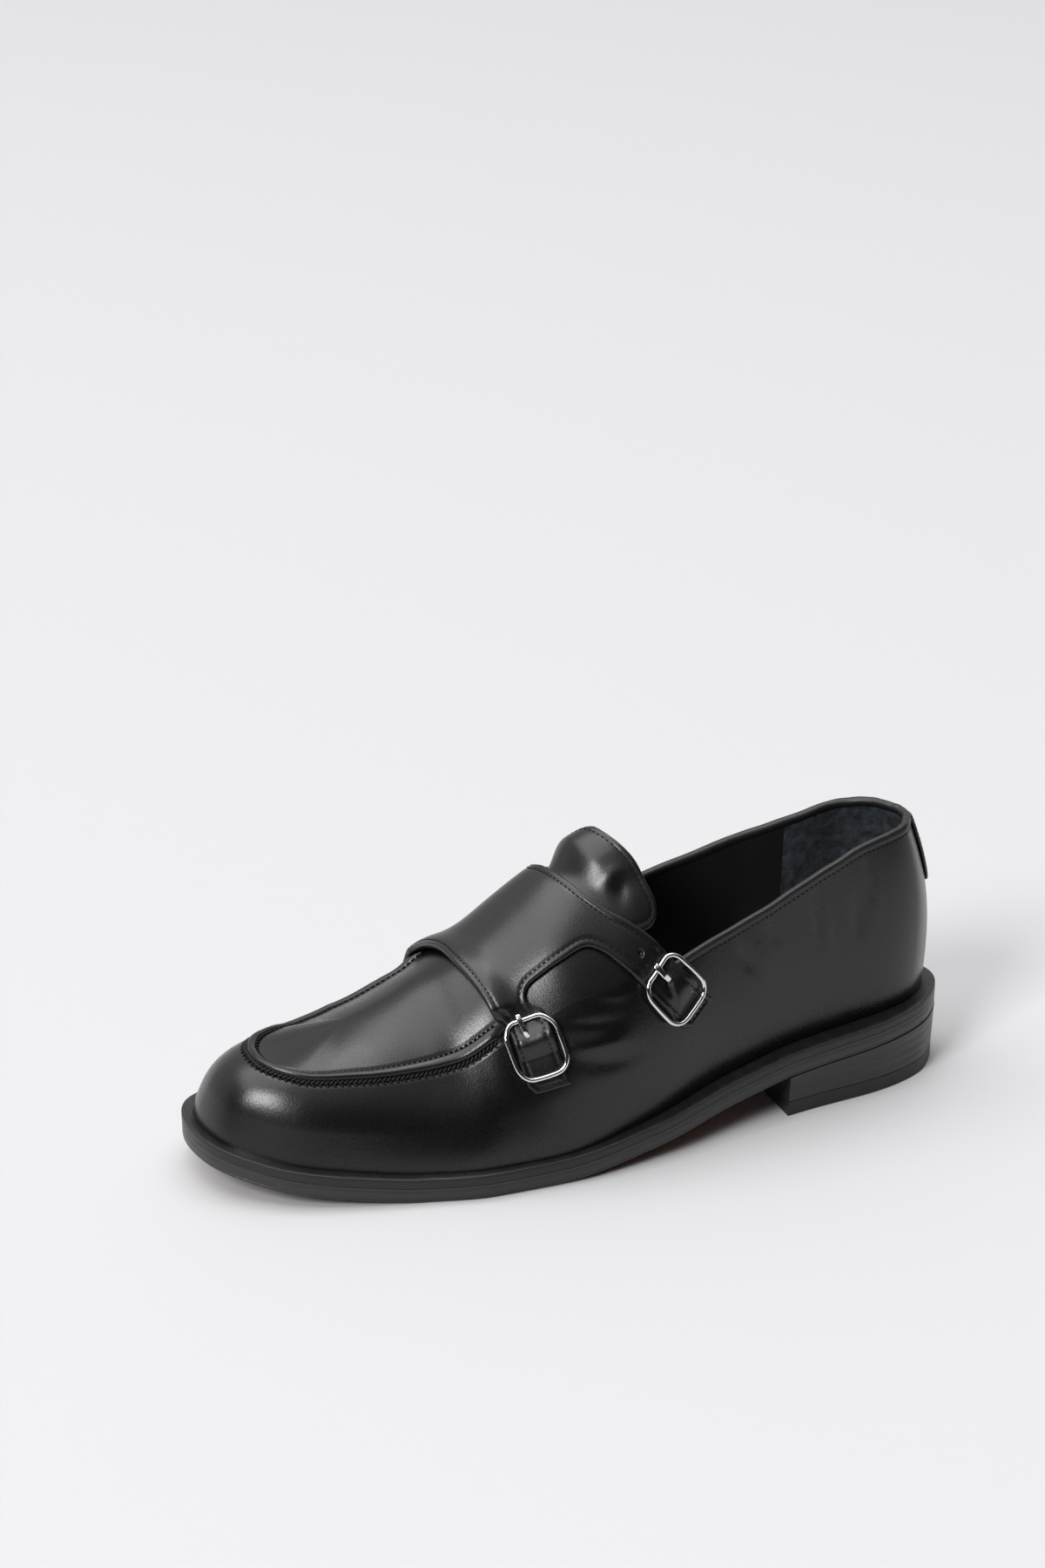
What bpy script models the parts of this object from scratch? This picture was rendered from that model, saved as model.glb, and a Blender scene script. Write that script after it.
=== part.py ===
"""A left men's loafer with two buckled straps, built round the surface of its last.

The x axis runs from the back of the heel to the tip of the toe, +Y is the outer (lateral) side
of a left shoe, and +Z is up. The work is done from the back of the heel, and each finished
piece is then shifted so that the origin lies under the middle of the sole, on the floor.
"""

import math

import bmesh
import bpy
import numpy as np
from mathutils import Vector, geometry

# Driving sizes, in metres
LENGTH = 0.300
BALL_WIDTH = 0.104
HEEL_LENGTH = 0.0764
HEEL_BACK = 0.0223
HEEL_BREAST = 0.01645
HEEL_TAPER = 0.0008
LIFT_THICKNESS = 0.0060
OUTSOLE_THICKNESS = 0.0056
WELT_THICKNESS = 0.00365
WELT_WIDTH = 0.0078
WELT_BAND = 0.0150
TOE_SPRING = 0.0114
BALL_X = 0.206
FLAT_SPOT = 0.024
COLLAR_HEIGHT = 0.0696
INSTEP_HEIGHT = 0.0830
TOE_HEIGHT = 0.0262
WALL = 0.0020
INSOLE_THICKNESS = 0.0030
SADDLE_THICKNESS = 0.0024
TONGUE_THICKNESS = 0.0020
TONGUE_RISE = 0.0080
STRIP_THICKNESS = 0.0012
BEAD_WIDTH = 0.0036
BEAD_HEIGHT = 0.0015
COLLAR_ROLL = 0.0007
SADDLE_STAND = 0.0016
LEG_WIDTH = 0.0152
LEG_PRESSED = 0.0015
LEG_CROWN = 0.0042
TAB_REACH = 0.0158
BUCKLE_WIDTH = 0.0214
BUCKLE_LENGTH = 0.0214
BUCKLE_CORNER = 0.0062
WIRE = 0.0017
PRONG = 0.0021
PRONG_DEPTH = 0.0009
# How far the prong leans towards the heel for each metre down the strap
PRONG_SLANT = 0.22
STRIP_WIDTH = 0.0130
GAP = 0.0003
EDGE = OUTSOLE_THICKNESS + GAP + WELT_THICKNESS

# Centres of the round ends of the last, measured from the back of the heel
HEEL_POLE = 0.120 * LENGTH
TOE_POLE = 0.793 * LENGTH
# Where the throat's edge leaves the top line, and where it crosses the ridge
THROAT_SIDE = 0.420 * LENGTH
THROAT_TOP = 0.565 * LENGTH
THROAT_BOW = 1.6

# Sole outline: place along the length, then lateral and medial reach as shares of BALL_WIDTH
OUTLINE = (
    (0.000, 0.000, 0.000),
    (0.015, 0.119, 0.119),
    (0.050, 0.221, 0.221),
    (0.120, 0.301, 0.303),
    (0.220, 0.347, 0.303),
    (0.330, 0.416, 0.262),
    (0.450, 0.512, 0.255),
    (0.570, 0.555, 0.330),
    (0.670, 0.554, 0.412),
    (0.750, 0.512, 0.438),
    (0.830, 0.456, 0.418),
    (0.900, 0.387, 0.365),
    (0.950, 0.295, 0.285),
    (0.985, 0.185, 0.175),
    (1.000, 0.000, 0.000),
)
# Welt left showing outside the upper: place, then share of WELT_WIDTH on each side
MARGIN = (
    (0.00, 0.64, 0.64),
    (0.06, 0.80, 0.80),
    (0.15, 1.05, 0.95),
    (0.28, 0.95, 0.75),
    (0.42, 0.85, 0.65),
    (0.55, 0.82, 0.75),
    (0.72, 0.90, 0.90),
    (0.85, 1.00, 0.95),
    (1.00, 0.86, 0.86),
)
# Underside of the outsole ahead of the heel: place between breast and ball, share of HEEL_BREAST
ARCH = ((0.00, 1.00), (0.25, 0.72), (0.53, 0.34), (0.86, 0.03), (1.00, 0.00))
# Toe spring: place between ball and tip, share of TOE_SPRING
SPRING = ((0.00, 0.00), (0.12, 0.02), (0.30, 0.13), (0.63, 0.42), (1.00, 1.00))

# Shoulder line, where side wall and top meet; behind the throat it is the top line.
# Place, reach as a share of the spoke, height as shares of collar, instep and toe heights,
# lean of the lower wall as a share of WELT_WIDTH, roll of the upper wall in degrees, crown.
LATERAL = (
    (0.000, 0.690, 1.000, 0.000, 0.000, 0.38, 22.0, 2.0),
    (0.020, 0.740, 1.010, 0.000, 0.000, 0.36, 21.0, 2.0),
    (0.050, 0.810, 1.018, 0.000, 0.000, 0.32, 18.0, 2.0),
    (0.120, 0.850, 1.010, 0.000, 0.000, 0.28, 13.0, 2.0),
    (0.180, 0.910, 0.955, 0.000, 0.000, 0.30, 7.0, 1.8),
    (0.250, 0.930, 0.870, 0.000, 0.000, 0.32, 6.0, 1.7),
    (0.330, 0.870, 0.797, 0.000, 0.000, 0.34, 12.0, 1.7),
    (0.400, 0.860, 0.764, 0.000, 0.000, 0.34, 18.0, 1.7),
    (0.480, 0.845, 0.400, 0.312, 0.000, 0.34, 24.0, 1.8),
    (0.570, 0.780, 0.150, 0.470, 0.000, 0.34, 28.0, 2.6),
    (0.630, 0.735, 0.000, 0.500, 0.050, 0.34, 30.0, 2.8),
    (0.670, 0.715, 0.000, 0.410, 0.120, 0.34, 34.0, 2.4),
    (0.710, 0.695, 0.000, 0.270, 0.420, 0.33, 39.0, 1.9),
    (0.780, 0.700, 0.000, 0.130, 0.780, 0.32, 44.0, 1.7),
    (0.850, 0.722, 0.000, 0.040, 0.992, 0.30, 50.0, 1.7),
    (0.920, 0.748, 0.000, 0.000, 1.053, 0.30, 60.0, 1.6),
    (0.970, 0.730, 0.000, 0.000, 1.019, 0.30, 70.0, 1.6),
    (1.000, 0.680, 0.000, 0.000, 1.000, 0.30, 74.0, 1.6),
)
MEDIAL = (
    (0.000, 0.690, 1.000, 0.000, 0.000, 0.38, 22.0, 2.0),
    (0.020, 0.740, 1.010, 0.000, 0.000, 0.36, 21.0, 2.0),
    (0.050, 0.810, 1.018, 0.000, 0.000, 0.32, 18.0, 2.0),
    (0.120, 0.880, 1.005, 0.000, 0.000, 0.32, 12.0, 2.0),
    (0.180, 0.980, 0.950, 0.000, 0.000, 0.50, 4.0, 1.8),
    (0.250, 1.080, 0.895, 0.000, 0.000, 0.75, 2.0, 1.7),
    (0.330, 1.230, 0.855, 0.000, 0.000, 1.05, 6.0, 1.7),
    (0.400, 1.290, 0.810, 0.000, 0.000, 1.20, 12.0, 1.7),
    (0.480, 1.130, 0.450, 0.330, 0.000, 1.05, 20.0, 1.8),
    (0.570, 0.860, 0.150, 0.590, 0.000, 0.70, 27.0, 2.4),
    (0.630, 0.680, 0.000, 0.650, 0.050, 0.45, 32.0, 2.2),
    (0.690, 0.640, 0.000, 0.541, 0.050, 0.38, 36.0, 1.7),
    (0.720, 0.630, 0.000, 0.396, 0.350, 0.35, 39.0, 1.6),
    (0.780, 0.622, 0.000, 0.171, 0.811, 0.32, 44.0, 1.6),
    (0.850, 0.612, 0.000, 0.048, 1.016, 0.30, 52.0, 1.6),
    (0.920, 0.606, 0.000, 0.000, 1.072, 0.30, 62.0, 1.6),
    (0.970, 0.625, 0.000, 0.000, 1.024, 0.30, 70.0, 1.6),
    (1.000, 0.680, 0.000, 0.000, 1.000, 0.30, 74.0, 1.6),
)
# Ridge over the instep: place, height as shares of instep and toe heights, side shift as a
# share of BALL_WIDTH. Behind the throat it guides the tongue only.
RIDGE = (
    (0.300, 1.250, 0.000, 0.000),
    (0.400, 1.190, 0.000, -0.020),
    (0.473, 1.117, 0.000, -0.035),
    (0.527, 1.027, 0.000, -0.040),
    (0.583, 0.900, 0.000, -0.040),
    (0.623, 0.800, 0.000, -0.035),
    (0.683, 0.672, 0.000, -0.025),
    (0.713, 0.600, 0.060, -0.018),
    (0.777, 0.270, 0.780, -0.004),
    (0.843, 0.110, 1.010, 0.000),
    (0.917, 0.000, 1.120, 0.000),
    (1.000, 0.000, 1.150, 0.000),
)


def spline(places, values):
    """A monotone cubic through a short table, as a function of place."""
    xs, ys = np.array(places, float), np.array(values, float)
    step = np.diff(xs)
    slope = np.diff(ys) / step
    tangent = np.zeros(len(xs))
    tangent[0], tangent[-1] = slope[0], slope[-1]
    for i in range(1, len(xs) - 1):
        if slope[i - 1] * slope[i] > 0:
            near, far = 2 * step[i] + step[i - 1], step[i] + 2 * step[i - 1]
            tangent[i] = (near + far) / (near / slope[i - 1] + far / slope[i])

    def at(place):
        i = min(max(int(np.searchsorted(xs, place)) - 1, 0), len(step) - 1)
        t = min(max((place - xs[i]) / step[i], 0.0), 1.0)
        return float(
            ys[i] * (1 + 2 * t) * (1 - t) ** 2
            + tangent[i] * step[i] * t * (1 - t) ** 2
            + ys[i + 1] * t * t * (3 - 2 * t)
            - tangent[i + 1] * step[i] * t * t * (1 - t)
        )

    return at


def turn(place):
    """Angle round the outline for a share of the length: 0 at the heel, pi at the toe."""
    return math.acos(1 - 2 * min(max(place, 0.0), 1.0))


def columns(table, spread=lambda place: place):
    places = [spread(row[0]) for row in table]
    return [spline(places, values) for values in list(zip(*table))[1:]]


OUT_LATERAL, OUT_MEDIAL = columns(OUTLINE, turn)
MARGIN_LATERAL, MARGIN_MEDIAL = columns(MARGIN, turn)
SHOULDER = {1: columns(LATERAL, turn), -1: columns(MEDIAL, turn)}
RIDGE_INSTEP, RIDGE_TOE, RIDGE_SHIFT = columns(RIDGE)
ARCH_SHARE = columns(ARCH)[0]
SPRING_SHARE = columns(SPRING)[0]


def smooth(low, high, value):
    t = min(max((value - low) / (high - low), 0.0), 1.0)
    return t * t * (3 - 2 * t)


def tread(x):
    """Height of the outsole's underside above the floor."""
    front, back = BALL_X + FLAT_SPOT / 2, BALL_X - FLAT_SPOT / 2
    if x <= HEEL_LENGTH:
        return HEEL_BACK + (HEEL_BREAST - HEEL_BACK) * max(x, 0.0) / HEEL_LENGTH
    if x <= back:
        return HEEL_BREAST * ARCH_SHARE((x - HEEL_LENGTH) / (back - HEEL_LENGTH))
    if x <= front:
        return 0.0
    return TOE_SPRING * SPRING_SHARE((x - front) / (LENGTH - front))


def outline(angle):
    """Point of the sole's edge. Positive angles run along the lateral side."""
    angle = (angle + math.pi) % (2 * math.pi) - math.pi
    x = LENGTH * (1 - math.cos(angle)) / 2
    side = OUT_LATERAL if angle >= 0 else OUT_MEDIAL
    return np.array((x, math.copysign(1, angle) * BALL_WIDTH * side(abs(angle))))


def inset(angle, distance):
    """Point that lies a distance inside the sole's edge."""
    step = 0.01
    along = outline(angle + step) - outline(angle - step)
    along /= np.linalg.norm(along)
    return outline(angle) + distance * np.array((along[1], -along[0]))


def feather(angle):
    """Foot of the upper, where it meets the welt."""
    angle = (angle + math.pi) % (2 * math.pi) - math.pi
    side = MARGIN_LATERAL if angle >= 0 else MARGIN_MEDIAL
    return inset(angle, WELT_WIDTH * side(abs(angle)))


def welt_top(x):
    return tread(x) + EDGE


SAMPLES = np.linspace(0, math.pi, 721)
EDGE_Y = [outline(side * angle)[1] for side in (1, -1) for angle in SAMPLES]
CENTRE = np.array((LENGTH / 2, (max(EDGE_Y) + min(EDGE_Y)) / 2, 0.0))
FEATHER_X = {side: np.array([feather(side * a)[0] for a in SAMPLES]) for side in (1, -1)}


def angle_at(side, x):
    """Angle of the section that stands at x, on the lateral (1) or medial (-1) side."""
    return side * float(np.interp(x, FEATHER_X[side], SAMPLES))


def ridge(x):
    """Height of the last's ridge above the floor."""
    place = x / LENGTH
    rise = INSTEP_HEIGHT * RIDGE_INSTEP(place) + TOE_HEIGHT * RIDGE_TOE(place)
    return welt_top(x) + GAP + rise


def spoke(angle):
    """Foot and hub in plan, and the floor height of the foot, for one section."""
    foot = feather(angle)
    hub_x = min(max(foot[0], HEEL_POLE), TOE_POLE)
    hub = np.array((hub_x, BALL_WIDTH * RIDGE_SHIFT(hub_x / LENGTH)))
    return foot, hub, welt_top(foot[0]) + GAP


def shoulder(angle):
    """Reach and height above the foot of the shoulder line, then lean, roll and crown."""
    angle = (angle + math.pi) % (2 * math.pi) - math.pi
    table = SHOULDER[1 if angle >= 0 else -1]
    reach, collar, instep, toe, lean, roll, crown = (column(abs(angle)) for column in table)
    rise = collar * COLLAR_HEIGHT + instep * INSTEP_HEIGHT + toe * TOE_HEIGHT
    return reach, rise, lean * WELT_WIDTH, math.radians(roll), crown


def skin(angle, girth):
    """Point of the upper's outer surface: girth 0 at the welt, 1 on the shoulder, 2 on the ridge."""
    foot, hub, floor = spoke(angle)
    reach, rise, lean, roll, crown = shoulder(angle)
    radius = np.linalg.norm(foot - hub)
    out = (foot - hub) / radius
    if girth <= 1:
        handle = 0.38 * math.hypot(radius * (1 - reach), rise)
        path = (
            (radius, 0.0),
            (radius + lean, handle),
            (radius * reach + handle * math.sin(roll), rise - handle * math.cos(roll)),
            (radius * reach, rise),
        )
        t = girth
        weights = ((1 - t) ** 3, 3 * t * (1 - t) ** 2, 3 * t * t * (1 - t), t**3)
        r = sum(w * p[0] for w, p in zip(weights, path))
        z = sum(w * p[1] for w, p in zip(weights, path))
        plan = hub + out * r
        return np.array((plan[0], plan[1], floor + z))
    edge = hub + out * radius * reach
    drop = ridge(edge[0]) - floor - rise
    share = girth - 1
    plan = edge + (hub - edge) * share
    return np.array((plan[0], plan[1], ridge(plan[0]) - drop * (1 - share) ** crown))


def normal(angle, girth):
    """Outward normal of the surface."""
    girth = min(girth, 1.97)
    low, high = max(girth - 0.02, 0.0), min(girth + 0.02, 2.0)
    up = skin(angle, high) - skin(angle, low)
    along = skin(angle + 0.012, girth) - skin(angle - 0.012, girth)
    across = np.cross(up, along)
    return across / np.linalg.norm(across)


def lifted(angle, girth, height):
    return skin(angle, girth) + normal(angle, girth) * height


def mid(x, g, height=0.0):
    """Point over the instep: g is 0 on the ridge, 1 on the shoulder, 2 at the welt, and
    negative on the medial side."""
    side = 1 if g >= 0 else -1
    return lifted(angle_at(side, x), 2 - abs(g), height)


def material(name, colour, roughness, metallic=0.0):
    made = bpy.data.materials.new(name)
    made.use_nodes = True
    shader = made.node_tree.nodes["Principled BSDF"]
    shader.inputs["Base Color"].default_value = (*colour, 1.0)
    shader.inputs["Roughness"].default_value = roughness
    shader.inputs["Metallic"].default_value = metallic
    return made


def piece(name, points, faces, finish, smooth_angle=40.0):
    """A closed mesh from points measured from the heel, shifted to stand on the origin."""
    mesh = bpy.data.meshes.new(name)
    mesh.from_pydata([tuple(np.asarray(p) - CENTRE) for p in points], [], faces)
    work = bmesh.new()
    work.from_mesh(mesh)
    bmesh.ops.triangulate(work, faces=work.faces[:])
    bmesh.ops.recalc_face_normals(work, faces=work.faces[:])
    work.to_mesh(mesh)
    work.free()
    mesh.materials.append(finish)
    mesh.shade_smooth()
    mesh.set_sharp_from_angle(angle=math.radians(smooth_angle))
    made = bpy.data.objects.new(name, mesh)
    bpy.context.scene.collection.objects.link(made)
    return made


def shell(name, outer, inner, faces, finish):
    """A sheet with an outer and an inner skin of the same faces, closed round its edges."""
    count = len(outer)
    edges = {}
    for face in faces:
        for a, b in zip(face, face[1:] + face[:1]):
            edges[(a, b)] = edges.get((a, b), 0) + 1
    walls = [(a, b) for a, b in edges if (b, a) not in edges]
    solid = list(faces)
    solid += [tuple(i + count for i in reversed(face)) for face in faces]
    solid += [(b, a, a + count, b + count) for a, b in walls]
    return piece(name, list(outer) + list(inner), solid, finish)


def rings(rows, closed=True):
    """Quads that join each row of point numbers to the next."""
    faces = []
    for first, second in zip(rows, rows[1:]):
        size = len(first)
        for k in range(size if closed else size - 1):
            n = (k + 1) % size
            faces.append((first[k], first[n], second[n], second[k]))
    return faces


def bed_angles(count, last=math.pi):
    """Angles round one side of the sole, with sections at the heel breast and flat spot."""
    flat = FLAT_SPOT / 2 - 0.001
    kept = [turn(x / LENGTH) for x in (HEEL_LENGTH, BALL_X - flat, BALL_X + flat)]
    for i in range(count + 1):
        angle = math.pi * i / count
        if min(abs(angle - other) for other in kept[:3]) > 0.4 * math.pi / count:
            kept.append(angle)
    return [angle for angle in sorted(kept) if angle <= last + 1e-9]


def slab(name, levels, angles, finish, foot=inset):
    """A solid stacked from outlines of the sole, each with its inset and its height at x."""
    round_trip = angles + [-a for a in reversed(angles[1:]) if a < math.pi - 1e-9]
    points, rows = [], []
    for distance, height in levels:
        row = []
        for angle in round_trip:
            plan = foot(angle, distance)
            row.append(len(points))
            points.append((plan[0], plan[1], height(plan[0])))
        rows.append(row)
    faces = rings(rows)
    for row in (rows[0], rows[-1]):
        size = len(row)
        for j in range(size // 2):
            strip = (row[j], row[j + 1], row[size - j - 1], row[(size - j) % size])
            faces.append(tuple(dict.fromkeys(strip)))
    return piece(name, points, faces, finish)


def outsole(finish):
    def bottom(x):
        return tread(x)

    def top(x):
        return tread(x) + OUTSOLE_THICKNESS

    levels = (
        (0.0008, bottom),
        (0.0001, lambda x: bottom(x) + 0.0008),
        (0.0001, lambda x: top(x) - 0.0004),
        (0.0005, top),
    )
    return slab("outsole", levels, bed_angles(38), finish)


def heel_stack(finish):
    low = LIFT_THICKNESS + GAP
    levels = (
        (HEEL_TAPER, lambda x: low),
        (HEEL_TAPER * 0.4, lambda x: (low + tread(x)) / 2),
        (0.0002, lambda x: tread(x) - GAP),
    )
    return slab("heel_stack", levels, bed_angles(38, turn(HEEL_LENGTH / LENGTH)), finish)


def heel_lift(finish):
    levels = (
        (HEEL_TAPER + 0.0005, lambda x: 0.0),
        (HEEL_TAPER, lambda x: 0.0006),
        (HEEL_TAPER, lambda x: LIFT_THICKNESS),
    )
    return slab("heel_lift", levels, bed_angles(38, turn(HEEL_LENGTH / LENGTH)), finish)


def insole(finish):
    def inside(angle, distance):
        side = MARGIN_LATERAL if angle >= 0 else MARGIN_MEDIAL
        return inset(angle, WELT_WIDTH * side(abs(angle)) + distance)

    low = WALL + 2 * GAP
    levels = (
        (low, lambda x: welt_top(x) + GAP),
        (low, lambda x: welt_top(x) + GAP + INSOLE_THICKNESS - 0.0008),
        (low + 0.0008, lambda x: welt_top(x) + GAP + INSOLE_THICKNESS),
    )
    return slab("insole", levels, bed_angles(30), finish, inside)


def welt(finish):
    """The welt: a band round the whole sole, with the upper and the insole seated on it."""
    section = (
        (0.0004, 0.0),
        (0.0, 0.0004),
        (0.0, WELT_THICKNESS - 0.0006),
        (0.0006, WELT_THICKNESS),
        (WELT_BAND, WELT_THICKNESS),
        (WELT_BAND, 0.0),
    )
    half = bed_angles(38)
    points, rows = [], []
    for angle in half + [-a for a in reversed(half[1:-1])]:
        row = []
        for distance, rise in section:
            plan = inset(angle, distance)
            row.append(len(points))
            points.append((plan[0], plan[1], tread(plan[0]) + OUTSOLE_THICKNESS + GAP + rise))
        rows.append(row)
    return piece("welt", points, rings(rows + rows[:1]), finish)


# Front edge of the strap panel over the instep: g, then place along the length
SADDLE_FRONT = (
    (-1.40, 0.694),
    (-1.20, 0.690),
    (-0.90, 0.676),
    (-0.345, 0.6675),
    (0.036, 0.663),
    (0.326, 0.659),
    (0.559, 0.6527),
    (0.753, 0.6457),
    (0.900, 0.6400),
    (1.400, 0.6300),
)
# Its back edge, the same way
SADDLE_BACK = (
    (-1.400, 0.4400),
    (-1.020, 0.4450),
    (-0.860, 0.4750),
    (-0.640, 0.5100),
    (-0.344, 0.5310),
    (0.000, 0.5290),
    (0.373, 0.5130),
    (0.613, 0.4860),
    (0.780, 0.4530),
)
FRONT_EDGE = columns(SADDLE_FRONT)[0]
BACK_EDGE = columns(SADDLE_BACK)[0]


def throat_reach(x):
    """How far the top runs in from the shoulder at x, from 0 at the top line to 1 on the ridge."""
    share = (x - THROAT_SIDE) / (THROAT_TOP - THROAT_SIDE)
    return min(max(share, 0.0), 1.0) ** THROAT_BOW


def throat_x(g):
    """Place of the throat's edge for a given g."""
    share = max(1 - abs(g), 0.0) ** (1 / THROAT_BOW)
    return THROAT_SIDE + (THROAT_TOP - THROAT_SIDE) * share


# Depths below the top line at which the wall's rows set the collar's roll
COLLAR_STEPS = (0.0036, 0.0026, 0.0010, 0.0)
# The roll fades out between these places, ahead of the rear buckle
ROLL_LAST = THROAT_SIDE - 0.024
ROLL_END = THROAT_SIDE - 0.014
# Depths in from the seam at which the apron's rows set the bead
BEAD_STEPS = (0.0005, 0.0014, BEAD_WIDTH - 0.0008, BEAD_WIDTH + 0.0002)
# Where the bead rises, measured from the strap panel's front edge, on each side
BEAD_ENDS = {1: (0.0005, 0.0045), -1: (-0.005, -0.001)}
# The collar's roll clears the back strip within this reach of the heel
STRIP_REACH = 0.02


def bead_fade(x, side):
    """1 where the apron's bead shows, falling to 0 before or under the strap panel."""
    edge = LENGTH * FRONT_EDGE(side)
    first, full = BEAD_ENDS[side]
    return smooth(edge + first, edge + full, x)


def upper(finish, wall_rows=9, heel=6, quarter=8, throat=7, vamp=9, toe=9):
    """The hollow upper: quarters, vamp and apron in one wall, open at the collar, the throat
    and underneath. The apron's bead and the collar's roll are steps in the wall."""

    def run(start, stop, count):
        return [start + (stop - start) * i / count for i in range(count)]

    mids = run(HEEL_POLE, THROAT_SIDE, quarter) + run(THROAT_SIDE, THROAT_TOP, throat)
    first_throat = heel + quarter
    first_ridge = first_throat + throat
    mids += run(THROAT_TOP, TOE_POLE, vamp) + [TOE_POLE]
    toe_start = heel + len(mids) - 1
    last = toe_start + toe
    outer, inner, faces, index = [], [], [], {}

    def vertex(key, angle, girth, relief):
        if key not in index:
            index[key] = len(outer)
            outer.append(lifted(angle, girth, relief))
            inner.append(lifted(angle, girth, -WALL))
        return index[key]

    for side in (1, -1):
        start, end = abs(angle_at(side, HEEL_POLE)), abs(angle_at(side, TOE_POLE))
        angles = run(0.0, start, heel) + [abs(angle_at(side, x)) for x in mids]
        angles += [a for a in run(end, math.pi, toe)[1:]] + [math.pi]
        grid = []
        for i, size in enumerate(angles):
            angle = side * size
            foot, hub = spoke(angle)[:2]
            reach, rise = shoulder(angle)[:2]
            radius = np.linalg.norm(foot - hub)
            chord = math.hypot(radius * (1 - reach), rise)
            x_top = skin(angle, 1.0)[0]
            roll = COLLAR_ROLL * (1 - smooth(ROLL_LAST, ROLL_END, foot[0]))
            beside = abs(foot[1]) + max(foot[0] - STRIP_REACH, 0)
            roll *= smooth(STRIP_WIDTH * 0.55, STRIP_WIDTH * 0.95, beside)
            bead = BEAD_HEIGHT * (bead_fade(x_top, side) if i > first_ridge else 0.0)
            row = []
            girths = run(0.0, 0.88, wall_rows) + [1 - depth / chord for depth in COLLAR_STEPS]
            for k, girth in enumerate(girths):
                near = k - wall_rows
                relief = roll * (0, 1.0, 1.0, 0.5)[near] if near > 0 else 0.0
                relief -= 0.25 * bead * (near == 3)
                key = ("shared", i, k) if i in (0, last) else (side, i, k)
                row.append(vertex(key, angle, girth, relief))
            if i > first_throat:
                across = radius * reach
                share = throat_reach(foot[0])
                places = [(k + 1) / 9 for k in range(9)]
                if i >= first_ridge:
                    places = [depth / across for depth in BEAD_STEPS]
                    places += [places[-1] + (1 - places[-1]) * k / 5 for k in (1, 2, 3, 4, 5)]
                for k, place in enumerate(places):
                    relief = bead * (0.7, 1.0, 1.0, 0.0)[k] if k < 4 else 0.0
                    on_ridge = k == len(places) - 1 and i >= first_ridge
                    key = (side, i, 100 + k)
                    if on_ridge:
                        key = ("pole",) if i >= toe_start else ("ridge", i)
                    elif i == last:
                        key = ("shared", i, 100 + k)
                    row.append(vertex(key, angle, 1 + place * share, relief))
            grid.append(row)
        for i in range(last):
            a, b = grid[i], grid[i + 1]
            size = max(len(a), len(b))
            for k in range(size - 1):
                loop = [a[min(k, len(a) - 1)], b[min(k, len(b) - 1)],
                        b[min(k + 1, len(b) - 1)], a[min(k + 1, len(a) - 1)]]
                face = tuple(dict.fromkeys(loop))
                if len(face) > 2:
                    faces.append(face if side < 0 else face[::-1])
    return shell("upper", outer, inner, faces, finish)


def closed_curve(points, corners, step):
    """A smooth closed line through the points, straight-sided at those numbered as corners."""
    line = []
    count = len(points)
    for i in range(count):
        p0, p1, p2, p3 = (np.array(points[(i + k) % count], float) for k in (-1, 0, 1, 2))
        start = (p2 - p1) if i in corners else (p2 - p0) / 2
        stop = (p2 - p1) if (i + 1) % count in corners else (p3 - p1) / 2
        pieces = max(1, int(round(np.linalg.norm(p2 - p1) / step)))
        for k in range(pieces):
            t = k / pieces
            line.append(
                p1 * (1 + 2 * t) * (1 - t) ** 2
                + start * t * (1 - t) ** 2
                + p2 * t * t * (3 - 2 * t)
                - stop * t * t * (1 - t)
            )
    return line


def panel(name, line, place, thickness, step, finish):
    """A sheet cut to a closed line in flat coordinates and laid where place puts each point."""
    flat = [Vector((float(p[0]), float(p[1]))) for p in line]
    count = len(flat)
    low, high = np.min(line, axis=0) / step, np.max(line, axis=0) / step
    edges = [(i, (i + 1) % count) for i in range(count)]
    border = np.array(line)
    for j in range(math.ceil(low[1]), math.ceil(high[1])):
        for i in range(math.ceil(low[0]), math.ceil(high[0])):
            spot = step * np.array((i + 0.5 * (j % 2), j))
            if np.min(np.linalg.norm(border - spot, axis=1)) > 0.55 * step:
                flat.append(Vector((float(spot[0]), float(spot[1]))))
    found = geometry.delaunay_2d_cdt(flat, edges, [list(range(count))], 1, 1e-7)
    points, faces = found[0], [tuple(face) for face in found[2]]
    used = sorted({i for face in faces for i in face})
    renumber = {old: new for new, old in enumerate(used)}
    faces = [tuple(renumber[i] for i in face) for face in faces]
    outer, inner = [], []
    for old in used:
        under, over = thickness(points[old])
        outer.append(place(points[old], over))
        inner.append(place(points[old], under))
    return shell(name, outer, inner, faces, finish)


# Flat unit of g in the panels' cutting plan, about the girth from ridge to shoulder
GIRTH = 0.048


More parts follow.
